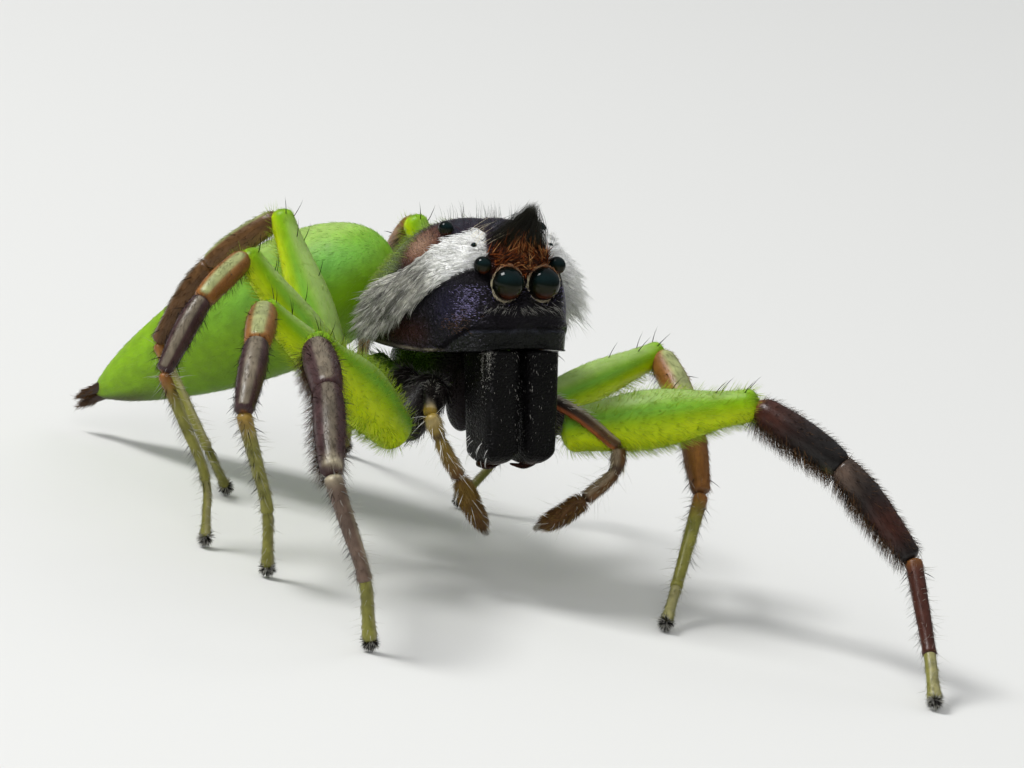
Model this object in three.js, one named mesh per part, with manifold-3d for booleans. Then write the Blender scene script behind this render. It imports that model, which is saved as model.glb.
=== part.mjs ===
// Green jumping spider, adult male (Mopsus mormon), standing still at life size.
// Millimetres and degrees, +Z up. The spider faces -Y and its left side is +X.
import * as THREE from 'three';
import { mergeVertices } from 'three/addons/utils/BufferGeometryUtils.js';
import Module from 'manifold-3d';

const wasm = await Module();
wasm.setup();

// ---------------------------------------------------------------- driving dimensions
const GAP = 0.04;            // space left between neighbouring pieces
const EYE_HEIGHT = 6.85;     // front eyes over the floor
const HEAD_PITCH = 7;        // front of the head raised
const HEAD_ROLL = -4.5;      // left side of the head raised
const PAD_HEIGHT = 0.2;      // middle of a foot pad over the floor
const PAD_RADIUS = 0.27;     // of a foot pad before its sole is cut flat
const SHANK_ARCH = 0.36;     // rise of a shank's joint over the line from knee to ankle
const SHANK_JOINT = 0.49;    // where along a shank the patella meets the tibia

// The head frame starts midway between the two large front eyes: X left, Y back, Z up.
// Carapace stations: y, half width at the margin, shoulder width, top, margin height.
const CARAPACE = [
  { y: -0.13, wide: 0.6, shoulder: 0.6, top: 0.14, margin: -1.34 },
  { y: -0.08, wide: 0.98, shoulder: 0.94, top: 0.36, margin: -1.46 },
  { y: 0.15, wide: 1.26, shoulder: 1.1, top: 0.62, margin: -1.5 },
  { y: 0.6, wide: 1.5, shoulder: 1.26, top: 0.97, margin: -1.58 },
  { y: 1.3, wide: 1.74, shoulder: 1.5, top: 1.18, margin: -1.68 },
  { y: 2.1, wide: 1.96, shoulder: 1.62, top: 1.17, margin: -1.7 },
  { y: 3.0, wide: 2.0, shoulder: 1.58, top: 0.87, margin: -1.67 },
  { y: 3.8, wide: 1.82, shoulder: 1.4, top: 0.2, margin: -1.63 },
  { y: 4.5, wide: 1.42, shoulder: 1.06, top: -0.56, margin: -1.6 },
  { y: 5.05, wide: 0.9, shoulder: 0.66, top: -1.1, margin: -1.64 },
  { y: 5.26, wide: 0.5, shoulder: 0.34, top: -1.38, margin: -1.7 },
];

const EYES = {
  eye_front: { at: [0.46, 0, 0], radius: 0.37, sides: 12 },
  eye_side: { at: [0.95, 0.28, 0.36], radius: 0.2, sides: 8 },
  eye_small: { at: [0.98, 0.65, 0.74], radius: 0.07, sides: 5 },
  eye_rear: { at: [1.2, 1.5, 1.0], radius: 0.17, sides: 7 },
};

// A jaw leans forward and narrows from its root under the face to its tip. Square under 1 gives a
// section flatter sides. The fang lies folded across the tip, from the outside inward.
const CHELICERA = {
  root: [0.5, 0.4, -1.25],
  middle: [0.49, 0.22, -2.65],
  tip: [0.46, 0.04, -3.98],
  halfWidth: 0.47,
  tipHalfWidth: 0.44,
  halfDepth: 0.62,
  square: 0.36,
};
const FANG = {
  outside: [0.26, 0.22, 0.06],
  middle: [0, 0.2, -0.06],
  inside: [-0.34, 0.24, -0.02],
  radius: 0.15,
};

// One side whisker, from beside the front eyes back along the cheek, and the crest over the face.
const WHISKER = {
  path: [
    [1.08, 0.42, 0.62], [1.78, 0.9, 0.16], [2.14, 1.42, -0.3], [2.26, 1.86, -0.76], [2.2, 2.3, -1.22],
  ],
  radius: 0.66,
  flat: 1.2,
};
const CREST = {
  path: [[0, 0.78, 0.7], [0, 0.5, 1.12], [0, 0.2, 1.5], [0, -0.1, 1.76]],
  rootRadius: 0.46, taper: 0.4, flat: 0.75,
};

// A palp's segments on each side, from the jaw's base to the boxing-glove tip.
const PALPS = {
  R: {
    femur: [[-1.2, 1.6, -2.4], [-1.6, 1.0, -2.62], [-1.9, 0.45, -2.9]],
    shank: [[-1.9, 0.45, -2.9], [-1.55, 0.33, -3.66], [-1.14, 0.26, -4.3]],
    tip: [[-1.14, 0.26, -4.3], [-0.82, 0.2, -4.9], [-0.46, 0.16, -5.44]],
  },
  L: {
    femur: [[1.2, 1.6, -2.5], [2.05, 0.72, -2.98], [2.9, 0.2, -3.66]],
    shank: [[2.9, 0.2, -3.66], [2.78, 0.12, -4.18], [2.02, 0.1, -4.8]],
    tip: [[2.02, 0.1, -4.8], [1.45, 0.1, -5.14], [0.88, 0.1, -5.38]],
  },
};

// Half thickness of a palp's segments, and how much more its tip swells in the middle.
const PALP_THICK = { femur: 0.25, shank: 0.26, tip: 0.26, swell: 0.1 };

// Segment lengths and half thicknesses of the four leg pairs.
const LEG_SIZES = {
  1: { femur: 4.35, shank: 4.93, metatarsus: 2.33, tarsus: 1.35, thick: [0.5, 0.72, 0.46, 0.26], hip: 0.5 },
  2: { femur: 3.5, shank: 3.93, metatarsus: 2.53, tarsus: 1.25, thick: [0.42, 0.52, 0.38, 0.25], hip: 0.41 },
  3: { femur: 4.0, shank: 3.52, metatarsus: 2.55, tarsus: 1.3, thick: [0.42, 0.54, 0.36, 0.25], hip: 0.41 },
  4: { femur: 4.15, shank: 4.15, metatarsus: 2.75, tarsus: 1.3, thick: [0.42, 0.56, 0.37, 0.25], hip: 0.43 },
};
// Where a coxa starts on the sternum's edge and where its femur starts, in the head frame, left side.
const HIPS = {
  1: { inner: [0.86, 1.86, -2.42], outer: [2.1, 1.4, -3.5] },
  2: { inner: [0.98, 2.62, -2.4], outer: [2.15, 2.5, -3.1] },
  3: { inner: [0.94, 3.34, -2.38], outer: [2.1, 3.4, -3.0] },
  4: { inner: [0.74, 4.04, -2.36], outer: [1.9, 4.3, -2.9] },
};
// The stance. Each pair is a heading (0 forward, + to the left) and a rise over level.
const STANCE = {
  R1: { femur: [-66, 30], shank: [-21, -20], metatarsus: [63, -61], tarsus: 60 },
  R2: { femur: [-99, 33], shank: [-31, -24], metatarsus: [105, -58], tarsus: 43 },
  R3: { femur: [-112.4, 42.7], shank: [-61.2, -44.7], metatarsus: [60.7, -56.5], tarsus: -4 },
  R4: { femur: [-159, 51], shank: [-135, -58], metatarsus: [21, -43], tarsus: 110 },
  L1: { femur: [52, 21], shank: [35, -28], metatarsus: [-8, -46], tarsus: -21 },
  L2: { femur: [97, 23], shank: [-4, -38], metatarsus: [-39, -46], tarsus: -38 },
  L3: { femur: [148, 41], shank: [128, -51], metatarsus: [-68, -61], tarsus: -100 },
  L4: { femur: [205, 48], shank: [160, -51], metatarsus: [147, -50], tarsus: 146 },
};

// The abdomen's axis in the floor frame, from its front end to its tail, and the stalk before it,
// which starts in the head frame and ends in the floor frame.
const ABDOMEN = {
  front: [0.1, 5.85, 5.95],
  tail: [-3.66, 11.1, 0.98],
  radius: 1.58,
  flat: 0.98,
};
const PEDICEL = { start: [0, 4.5, -1.9], end: [0.06, 6.3, 4.55], radius: 0.32 };
// The spinnerets are cones at the tail: how far each root lies to the side of and over the axis.
const SPINNERETS = {
  places: [[-0.16, 0.08], [0.16, 0.08], [0, -0.14]],
  inside: 0.55,
  beyond: 0.42,
  radius: 0.2,
};

// Rounded blocks of the underside in the head frame, each with its half sizes and its middle.
const STERNUM = { half: [0.92, 1.75, 0.72], at: [0, 3.1, -2.25] };
const LABIUM = { half: [0.34, 0.55, 0.45], at: [0, 1.6, -2.6] };
const ENDITE = { half: [0.36, 0.42, 0.72], at: [0.44, 1.5, -2.75] };

// ---------------------------------------------------------------- finishes
const FINISH = {
  face: { color: 0x141013, roughness: 0.35, metalness: 0 },
  carapace: { color: 0x2c1a1c, roughness: 0.35, metalness: 0 },
  eye: { color: 0x050a06, roughness: 0.05, metalness: 0 },
  white: { color: 0xe9e6e0, roughness: 0.8, metalness: 0 },
  crest: { color: 0x201a12, roughness: 0.8, metalness: 0 },
  green: { color: 0x63b51e, roughness: 0.45, metalness: 0 },
  abdomen: { color: 0x3faa1c, roughness: 0.5, metalness: 0 },
  frontShank: { color: 0x2a1715, roughness: 0.45, metalness: 0 },
  shank: { color: 0x6b3f22, roughness: 0.45, metalness: 0 },
  foot: { color: 0x8f7a1f, roughness: 0.45, metalness: 0 },
  palp: { color: 0x6b4a1e, roughness: 0.5, metalness: 0 },
};

// ---------------------------------------------------------------- helpers
const vec = (p) => new THREE.Vector3(...p);
const mirror = (p, side) => [side === 'R' ? -p[0] : p[0], p[1], p[2]];
const radians = THREE.MathUtils.degToRad;
const UP = new THREE.Vector3(0, 0, 1);

// A heading and rise as a unit direction.
function heading(turn, rise) {
  const a = radians(turn);
  const r = radians(rise);
  return new THREE.Vector3(Math.sin(a) * Math.cos(r), -Math.cos(a) * Math.cos(r), Math.sin(r));
}

// A closed mesh with merged corners.
function closed(geometry) {
  geometry.deleteAttribute('normal');
  geometry.deleteAttribute('uv');
  const merged = mergeVertices(geometry, 1e-5);
  merged.computeVertexNormals();
  return merged;
}

function toSolid(geometry) {
  const merged = closed(geometry.clone());
  return new wasm.Manifold(new wasm.Mesh({
    numProp: 3,
    vertProperties: new Float32Array(merged.attributes.position.array),
    triVerts: new Uint32Array(merged.index.array),
  }));
}

function fromSolid(solid) {
  const mesh = solid.getMesh();
  const geometry = new THREE.BufferGeometry();
  geometry.setAttribute('position', new THREE.BufferAttribute(mesh.vertProperties, 3));
  geometry.setIndex(new THREE.BufferAttribute(mesh.triVerts, 1));
  geometry.computeVertexNormals();
  return geometry;
}

// The same shape, larger by a gap all round.
function grown(geometry, gap = GAP) {
  const bigger = closed(geometry.clone());
  const place = bigger.attributes.position;
  const normal = bigger.attributes.normal;
  for (let i = 0; i < place.count; i++) {
    const point = new THREE.Vector3().fromBufferAttribute(normal, i).multiplyScalar(gap);
    point.add(new THREE.Vector3().fromBufferAttribute(place, i));
    place.setXYZ(i, point.x, point.y, point.z);
  }
  return bigger;
}

// Takes the other meshes, grown by the gap, out of a mesh, wherever each is placed.
function makeRoom(mesh, others) {
  mesh.updateWorldMatrix(true, false);
  const inverse = mesh.matrixWorld.clone().invert();
  let solid = toSolid(mesh.geometry);
  for (const other of others) {
    other.updateWorldMatrix(true, false);
    const cutter = grown(other.geometry).applyMatrix4(other.matrixWorld).applyMatrix4(inverse);
    solid = solid.subtract(toSolid(cutter));
  }
  const bodies = solid.decompose().sort((a, b) => b.volume() - a.volume());
  mesh.geometry = fromSolid(bodies[0]);
}

function joined(...geometries) {
  return fromSolid(geometries.map(toSolid).reduce((sum, next) => sum.add(next)));
}

// A limb along a curve: a turned shape whose radius follows a function from root to tip, laid
// along the curve. Flat is its height over its width, square under 1 gives it flatter sides, and
// facing is the direction of its width.
function limb(path, radius, { sides = 10, rings = 8, flat = 1, square = 1, facing = null } = {}) {
  const outline = [new THREE.Vector2(0, 0)];
  for (let i = 1; i < rings; i++) outline.push(new THREE.Vector2(1, i / rings));
  outline.push(new THREE.Vector2(0, 1));
  const geometry = new THREE.LatheGeometry(outline, sides);
  const place = geometry.attributes.position;
  const chord = path.getPointAt(1).sub(path.getPointAt(0));
  const wide = facing ?? new THREE.Vector3().crossVectors(chord, UP).normalize();
  const squared = (v) => (Math.abs(v) < 1e-6 ? 0 : Math.sign(v) * Math.abs(v) ** square);
  for (let i = 0; i < place.count; i++) {
    const t = 0.5 - 0.5 * Math.cos(Math.PI * place.getY(i));
    const tangent = path.getTangentAt(t);
    const over = new THREE.Vector3().crossVectors(wide, tangent).normalize();
    const across = new THREE.Vector3().crossVectors(tangent, over);
    const [x, z] = [place.getX(i), place.getZ(i)].map(squared);
    const point = path.getPointAt(t);
    point.addScaledVector(across, x * radius(t));
    point.addScaledVector(over, z * radius(t) * flat);
    place.setXYZ(i, point.x, point.y, point.z);
  }
  return outward(closed(geometry));
}

// Turns the faces over where a shape came out inside out.
function outward(geometry) {
  const corner = [new THREE.Vector3(), new THREE.Vector3(), new THREE.Vector3()];
  const index = geometry.index.array;
  let volume = 0;
  for (let i = 0; i < index.length; i += 3) {
    corner.forEach((c, k) => c.fromBufferAttribute(geometry.attributes.position, index[i + k]));
    volume += corner[0].dot(new THREE.Vector3().crossVectors(corner[1], corner[2]));
  }
  if (volume < 0) {
    for (let i = 0; i < index.length; i += 3) [index[i], index[i + 1]] = [index[i + 1], index[i]];
  }
  geometry.computeVertexNormals();
  return geometry;
}

// Round ends on a limb: 0 at both tips, 1 after a short way.
function capped(t, start = 0.12, end = 0.12) {
  const rise = Math.min(1, t / start);
  const fall = Math.min(1, (1 - t) / end);
  return Math.sqrt(1 - (1 - rise) ** 2) * Math.sqrt(1 - (1 - fall) ** 2);
}

function straight(from, to) {
  return new THREE.LineCurve3(from, to);
}

function smooth(points) {
  return new THREE.CatmullRomCurve3(points.map((p) => (p.isVector3 ? p : vec(p))));
}

function ball(radius, sides) {
  return closed(new THREE.SphereGeometry(radius, sides, Math.max(4, Math.round(sides * 0.6))));
}

// ---------------------------------------------------------------- the figure and its head frame
const spider = new THREE.Group();
const prosoma = new THREE.Group();
prosoma.position.set(0, 0, EYE_HEIGHT);
prosoma.rotation.set(-radians(HEAD_PITCH), radians(HEAD_ROLL), 0, 'XYZ');
spider.add(prosoma);
const nodes = {};

function piece(name, geometry, finish, parent = prosoma) {
  const mesh = new THREE.Mesh(geometry, new THREE.MeshStandardMaterial(FINISH[finish]));
  mesh.name = name;
  parent.add(mesh);
  nodes[name] = mesh;
  return mesh;
}

// ---------------------------------------------------------------- head and trunk
// A carapace section: from the margin over the shoulder to the ridge, on both sides, flat beneath.
function carapaceSection(station) {
  const { wide, shoulder, top, margin } = station;
  const high = top - margin;
  const side = new THREE.CubicBezierCurve(
    new THREE.Vector2(wide, margin), new THREE.Vector2(wide * 1.02, margin + 0.5 * high),
    new THREE.Vector2(shoulder * 1.02, margin + 1.08 * high), new THREE.Vector2(0, top));
  const half = side.getPoints(7);
  const other = half.slice(0, -1).reverse().map((p) => new THREE.Vector2(-p.x, p.y));
  const under = [-0.5, 0, 0.5].map((f) => new THREE.Vector2(f * wide, margin + 0.06 * (1 - Math.abs(f))));
  return [...half, ...other, ...under];
}

function carapaceShape() {
  const rings = CARAPACE.map((station) => carapaceSection(station).map((p) => [p.x, station.y, p.y]));
  const middle = (ring) => ring.reduce((sum, p) => sum.map((s, k) => s + p[k] / ring.length), [0, 0, 0]);
  const points = [...rings.flat(), middle(rings[0]), middle(rings.at(-1))];
  const count = rings[0].length;
  const faces = [];
  for (let j = 0; j < count; j++) {
    const next = (j + 1) % count;
    for (let i = 0; i + 1 < rings.length; i++) {
      const [a, b, c, d] = [i * count + j, i * count + next, (i + 1) * count + next, (i + 1) * count + j];
      faces.push(a, b, c, a, c, d);
    }
    faces.push(points.length - 2, next, j);
    faces.push(points.length - 1, (rings.length - 1) * count + j, (rings.length - 1) * count + next);
  }
  const geometry = new THREE.BufferGeometry();
  geometry.setAttribute('position', new THREE.BufferAttribute(new Float32Array(points.flat()), 3));
  geometry.setIndex(faces);
  return outward(closed(geometry));
}

function makeHead() {
  piece('carapace', carapaceShape(), 'carapace');
  for (const side of ['R', 'L']) {
    for (const [name, eye] of Object.entries(EYES)) {
      const mesh = piece(`${name}_${side}`, ball(eye.radius, eye.sides), 'eye');
      mesh.position.set(...mirror(eye.at, side));
    }
  }
}

// A jaw is a thick upright block with round corners.
function makeJaws() {
  const { root, middle, tip, halfWidth, tipHalfWidth, halfDepth, square } = CHELICERA;
  const facing = new THREE.Vector3(1, 0, 0);
  const block = { sides: 12, rings: 8, flat: halfDepth / halfWidth, square, facing };
  const fold = [FANG.outside, FANG.middle, FANG.inside].map((p) => p.map((value, k) => value + tip[k]));
  for (const side of ['R', 'L']) {
    const path = smooth([root, middle, tip].map((p) => mirror(p, side)));
    const girth = (t) => (halfWidth + (tipHalfWidth - halfWidth) * t * t) * capped(t, 0.04, 0.14);
    piece(`chelicera_${side}`, limb(path, girth, block), 'face');
    const slim = (t) => FANG.radius * (1 - 0.7 * t) * capped(t, 0.1, 0.1);
    const fang = limb(smooth(fold.map((p) => mirror(p, side))), slim, { sides: 6, rings: 4 });
    piece(`fang_${side}`, fang, 'face');
  }
}

// The sternum with the labium and the two endites in front of it, in one piece.
function makeUnderside() {
  const block = ({ half, at }, sides) => {
    const round = new THREE.SphereGeometry(1, sides, sides - 3);
    return closed(round.scale(...half).translate(...at));
  };
  const endites = ['R', 'L'].map((side) => block({ half: ENDITE.half, at: mirror(ENDITE.at, side) }, 7));
  piece('underside', joined(block(STERNUM, 10), block(LABIUM, 7), ...endites), 'face');
}

function makeCoat() {
  for (const side of ['R', 'L']) {
    const path = smooth(WHISKER.path.map((p) => mirror(p, side)));
    const spindle = (t) => Math.sin(Math.PI * (0.14 + 0.82 * t)) ** 0.8 * capped(t, 0.08, 0.1);
    const girth = (t) => WHISKER.radius * spindle(t);
    piece(`whisker_${side}`, limb(path, girth, { sides: 9, rings: 7, flat: WHISKER.flat }), 'white');
  }
  const point = (t) => (CREST.rootRadius - CREST.taper * t) * capped(t, 0.15, 0.1);
  piece('crest', limb(smooth(CREST.path), point, { sides: 9, rings: 6, flat: CREST.flat }), 'crest');
}

// ---------------------------------------------------------------- palps
function makePalps() {
  const girths = {
    femur: (t) => PALP_THICK.femur * capped(t, 0.15, 0.15),
    shank: (t) => PALP_THICK.shank * capped(t, 0.15, 0.15),
    tip: (t) => (PALP_THICK.tip + PALP_THICK.swell * Math.sin(Math.PI * t)) * capped(t, 0.2, 0.35),
  };
  for (const [side, palp] of Object.entries(PALPS)) {
    for (const [segment, path] of Object.entries(palp)) {
      const shape = limb(smooth(path), girths[segment], { sides: 8, rings: 7 });
      piece(`palp_${segment}_${side}`, shape, 'palp');
    }
  }
}

// ---------------------------------------------------------------- legs
// The joints of one leg in the floor frame: hip, knee, ankle, instep and foot pad.
function legJoints(name) {
  const size = LEG_SIZES[name[1]];
  const stance = STANCE[name];
  const hip = prosoma.localToWorld(vec(mirror(HIPS[name[1]].outer, name[0])));
  const knee = hip.clone().addScaledVector(heading(...stance.femur), size.femur);
  const ankle = knee.clone().addScaledVector(heading(...stance.shank), size.shank);
  const instep = ankle.clone().addScaledVector(heading(...stance.metatarsus), size.metatarsus);
  const drop = THREE.MathUtils.radToDeg(Math.asin(Math.min(0.98, (instep.z - PAD_HEIGHT) / size.tarsus)));
  const foot = instep.clone().addScaledVector(heading(stance.tarsus, -drop), size.tarsus);
  foot.z = PAD_HEIGHT;
  return { hip, knee, ankle, instep, foot };
}

function makeLeg(name) {
  const size = LEG_SIZES[name[1]];
  const { hip, knee, ankle, instep, foot } = legJoints(name);
  const [root, swell, calf, slim] = size.thick;
  const isFront = name[1] === '1';

  const { inner, outer } = HIPS[name[1]];
  const socket = straight(vec(mirror(inner, name[0])), vec(mirror(outer, name[0])));
  const coxa = limb(socket, (t) => size.hip * capped(t, 0.2, 0.2), { sides: 8, rings: 5 });
  piece(`coxa_${name}`, coxa, isFront ? 'face' : 'green');

  const thigh = straight(hip, hip.clone().lerp(knee, 1.03));
  const belly = (t) => root + (swell - root) * Math.sin(Math.PI * Math.min(1, t * 1.1)) ** 2 - 0.12 * t;
  const femur = limb(thigh, (t) => belly(t) * capped(t, 0.06, 0.06), { sides: 9, rings: 7, flat: 1.12 });
  piece(`femur_${name}`, femur, 'green', spider);

  // Patella and tibia in one, with a slight waist where they meet.
  const chord = ankle.clone().sub(knee);
  const arch = chord.clone().cross(UP).cross(chord).setLength(SHANK_ARCH);
  const shin = smooth([knee, knee.clone().lerp(ankle, SHANK_JOINT).add(arch), ankle]);
  const waist = (t) => 1 - 0.16 * Math.exp(-(((t - SHANK_JOINT) / 0.05) ** 2));
  const girth = (t) => calf * waist(t) * (1 - 0.22 * t ** 3) * capped(t, 0.07, 0.08);
  const shank = limb(shin, girth, { sides: 8, rings: 9 });
  piece(`shank_${name}`, shank, isFront ? 'frontShank' : 'shank', spider);

  // Metatarsus and tarsus in one, ending in a pad with a flat sole.
  const down = [[ankle, instep, 0], [ankle, instep, 0.5], [ankle, instep, 0.88],
    [instep, foot, 0.2], [instep, foot, 0.6], [instep, foot, 1]];
  const low = smooth(down.map(([from, to, part]) => from.clone().lerp(to, part)));
  const tread = limb(low, (t) => slim * capped(t, 0.05, 0.07), { sides: 7, rings: 7 });
  const pad = ball(PAD_RADIUS, 6).translate(foot.x, foot.y, foot.z);
  const floor = closed(new THREE.BoxGeometry(40, 40, 2).translate(0, 0, -1));
  piece(`foot_${name}`, fromSolid(toSolid(joined(tread, pad)).subtract(toSolid(floor))), 'foot', spider);
}

// ---------------------------------------------------------------- abdomen
function makeAbdomen() {
  const [front, tail] = [vec(ABDOMEN.front), vec(ABDOMEN.tail)];
  const girth = (t) => ABDOMEN.radius * Math.max(0, Math.sin(Math.PI * Math.min(1, t) ** 0.62)) ** 0.6;
  const sac = limb(straight(front, tail), girth, { sides: 16, rings: 12, flat: ABDOMEN.flat });
  piece('abdomen', sac, 'abdomen', spider);

  const back = tail.clone().sub(front).normalize();
  const taper = (t) => SPINNERETS.radius * (1 - 0.45 * t) * capped(t, 0.1, 0.15);
  const cluster = SPINNERETS.places.map(([across, over]) => {
    const middle = tail.clone().add(vec([across * 0.8, across * 0.55, over]));
    const inner = middle.clone().addScaledVector(back, -SPINNERETS.inside);
    const outer = middle.clone().addScaledVector(back, SPINNERETS.beyond);
    return limb(straight(inner, outer), taper, { sides: 5, rings: 4 });
  });
  piece('spinnerets', joined(...cluster), 'face', spider);

  const waist = straight(prosoma.localToWorld(vec(PEDICEL.start)), vec(PEDICEL.end));
  const stalk = limb(waist, (t) => PEDICEL.radius * capped(t, 0.2, 0.2), { sides: 6, rings: 4 });
  piece('pedicel', stalk, 'green', spider);
}

// ---------------------------------------------------------------- assembly
makeHead();
makeJaws();
makeUnderside();
makeCoat();
makePalps();
spider.updateMatrixWorld(true);
for (const name of Object.keys(STANCE)) makeLeg(name);
makeAbdomen();

const all = (start) => Object.values(nodes).filter((mesh) => mesh.name.startsWith(start));
const eyes = all('eye_');
makeRoom(nodes.carapace, eyes);
for (const mesh of [...all('chelicera'), ...all('palp_femur')]) makeRoom(mesh, [nodes.carapace]);
for (const side of ['R', 'L']) {
  makeRoom(nodes[`chelicera_${side}`], [nodes[`fang_${side}`]]);
  makeRoom(nodes[`whisker_${side}`], [nodes.carapace, ...eyes]);
  for (const pair of [1, 2, 3, 4]) {
    const inFront = pair > 1 ? [nodes[`coxa_${side}${pair - 1}`]] : [];
    const part = (segment) => nodes[`${segment}_${side}${pair}`];
    makeRoom(part('shank'), [part('femur')]);
    makeRoom(part('foot'), [part('shank')]);
    makeRoom(part('femur'), [nodes.carapace]);
    makeRoom(part('coxa'), [nodes.carapace, part('femur'), ...inFront]);
  }
  makeRoom(nodes[`palp_femur_${side}`], [nodes[`coxa_${side}1`], nodes[`femur_${side}1`]]);
  makeRoom(nodes[`palp_shank_${side}`], [nodes[`palp_femur_${side}`]]);
  makeRoom(nodes[`palp_tip_${side}`], [nodes[`palp_shank_${side}`]]);
}
makeRoom(nodes.chelicera_R, [nodes.chelicera_L]);
makeRoom(nodes.crest, [nodes.carapace, ...eyes, nodes.whisker_R, nodes.whisker_L]);
makeRoom(nodes.underside, [nodes.carapace, ...all('coxa'), ...all('chelicera'), ...all('palp_femur')]);
makeRoom(nodes.abdomen, [nodes.carapace]);
makeRoom(nodes.pedicel, [nodes.carapace, nodes.underside, nodes.abdomen, nodes.coxa_R4, nodes.coxa_L4]);
makeRoom(nodes.spinnerets, [nodes.abdomen]);

// The origin is the middle of the figure's outline, on the floor.
spider.updateMatrixWorld(true);
const outline = new THREE.Box3().setFromObject(spider, true);
const centre = outline.getCenter(new THREE.Vector3());
const model = new THREE.Group();
spider.position.set(-centre.x, -centre.y, -outline.min.z);
model.add(spider);

export default model;
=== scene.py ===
"""Looks for the still, life-size green jumping spider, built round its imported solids.

Lengths in this file are millimetres until a mesh is made. The spider faces -Y with its left
side at +X. The head frame starts midway between the two large front eyes: X left, Y back, Z up.
"""

import math

import bpy
import numpy as np
from mathutils import Matrix, Vector


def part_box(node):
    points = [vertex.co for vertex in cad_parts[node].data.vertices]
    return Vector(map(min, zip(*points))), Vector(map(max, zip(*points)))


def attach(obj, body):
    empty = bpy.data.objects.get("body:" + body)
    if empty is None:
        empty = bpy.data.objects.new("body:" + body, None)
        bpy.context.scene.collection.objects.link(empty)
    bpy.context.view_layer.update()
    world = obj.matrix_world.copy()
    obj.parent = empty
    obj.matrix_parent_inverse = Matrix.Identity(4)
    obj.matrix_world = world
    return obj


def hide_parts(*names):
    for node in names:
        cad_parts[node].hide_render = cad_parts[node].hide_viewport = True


MM = 0.001
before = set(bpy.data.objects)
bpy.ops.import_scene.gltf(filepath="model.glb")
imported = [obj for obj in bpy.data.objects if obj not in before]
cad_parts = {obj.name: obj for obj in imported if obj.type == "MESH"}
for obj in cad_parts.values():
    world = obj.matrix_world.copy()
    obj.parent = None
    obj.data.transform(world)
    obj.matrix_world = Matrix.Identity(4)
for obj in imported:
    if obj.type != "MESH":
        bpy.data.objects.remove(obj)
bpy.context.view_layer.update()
rng = np.random.default_rng(7)

# ------------------------------------------------------------------ the solids' dimensions
EYE_HEIGHT = 6.85
HEAD_PITCH = 7.0
HEAD_ROLL = -4.5
PAD_HEIGHT = 0.2
SHANK_ARCH = 0.36
SHANK_JOINT = 0.49

# Carapace stations: y, half width at the margin, shoulder width, top, margin height.
CARAPACE = [
    (-0.13, 0.60, 0.60, 0.14, -1.34),
    (-0.08, 0.98, 0.94, 0.36, -1.46),
    (0.15, 1.26, 1.10, 0.62, -1.50),
    (0.60, 1.50, 1.26, 0.97, -1.58),
    (1.30, 1.74, 1.50, 1.18, -1.68),
    (2.10, 1.96, 1.62, 1.17, -1.70),
    (3.00, 2.00, 1.58, 0.87, -1.67),
    (3.80, 1.82, 1.40, 0.20, -1.63),
    (4.50, 1.42, 1.06, -0.56, -1.60),
    (5.05, 0.90, 0.66, -1.10, -1.64),
    (5.26, 0.50, 0.34, -1.38, -1.70),
]
EYES = {
    "eye_front": ((0.46, 0.0, 0.0), 0.37),
    "eye_side": ((0.95, 0.28, 0.36), 0.20),
    "eye_small": ((0.98, 0.65, 0.74), 0.07),
    "eye_rear": ((1.2, 1.5, 1.0), 0.17),
}
JAW_ROOT = (0.5, 0.4, -1.25)
JAW_MIDDLE = (0.49, 0.22, -2.65)
JAW_TIP = (0.46, 0.04, -3.98)
JAW_HALF_WIDTH = 0.47
JAW_TIP_HALF_WIDTH = 0.44
JAW_HALF_DEPTH = 0.62
JAW_SQUARE = 0.36
JAW_TOP = 0.09  # where the jaw leaves the face, as a share of its length
# A fang's way across the jaw's tip, from the tip's middle.
FANG_STEPS = [(0.26, 0.22, 0.06), (0, 0.2, -0.06), (-0.34, 0.24, -0.02)]

CREST_PATH = [(0, 0.78, 0.7), (0, 0.5, 1.12), (0, 0.2, 1.5), (0, -0.1, 1.76)]

PALPS = {
    "R": {
        "femur": [(-1.2, 1.6, -2.4), (-1.6, 1.0, -2.62), (-1.9, 0.45, -2.9)],
        "shank": [(-1.9, 0.45, -2.9), (-1.55, 0.33, -3.66), (-1.14, 0.26, -4.3)],
        "tip": [(-1.14, 0.26, -4.3), (-0.82, 0.2, -4.9), (-0.46, 0.16, -5.44)],
    },
    "L": {
        "femur": [(1.2, 1.6, -2.5), (2.05, 0.72, -2.98), (2.9, 0.2, -3.66)],
        "shank": [(2.9, 0.2, -3.66), (2.78, 0.12, -4.18), (2.02, 0.1, -4.8)],
        "tip": [(2.02, 0.1, -4.8), (1.45, 0.1, -5.14), (0.88, 0.1, -5.38)],
    },
}
# Leg pairs: femur, shank, metatarsus and tarsus lengths, half thicknesses, hip half thickness.
LEG_SIZES = {
    1: (4.35, 4.93, 2.33, 1.35, (0.50, 0.72, 0.46, 0.26), 0.50),
    2: (3.50, 3.93, 2.53, 1.25, (0.42, 0.52, 0.38, 0.25), 0.41),
    3: (4.00, 3.52, 2.55, 1.30, (0.42, 0.54, 0.36, 0.25), 0.41),
    4: (4.15, 4.15, 2.75, 1.30, (0.42, 0.56, 0.37, 0.25), 0.43),
}
# How thick each leg pair's shank is as a share of its solid, and its foot as a share of pair 2's.
CALF_SHARE = {1: 0.84, 2: 0.9, 3: 0.8, 4: 0.8}
FOOT_SHARE = {1: 1.15, 2: 1.0, 3: 0.8, 4: 0.8}
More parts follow.
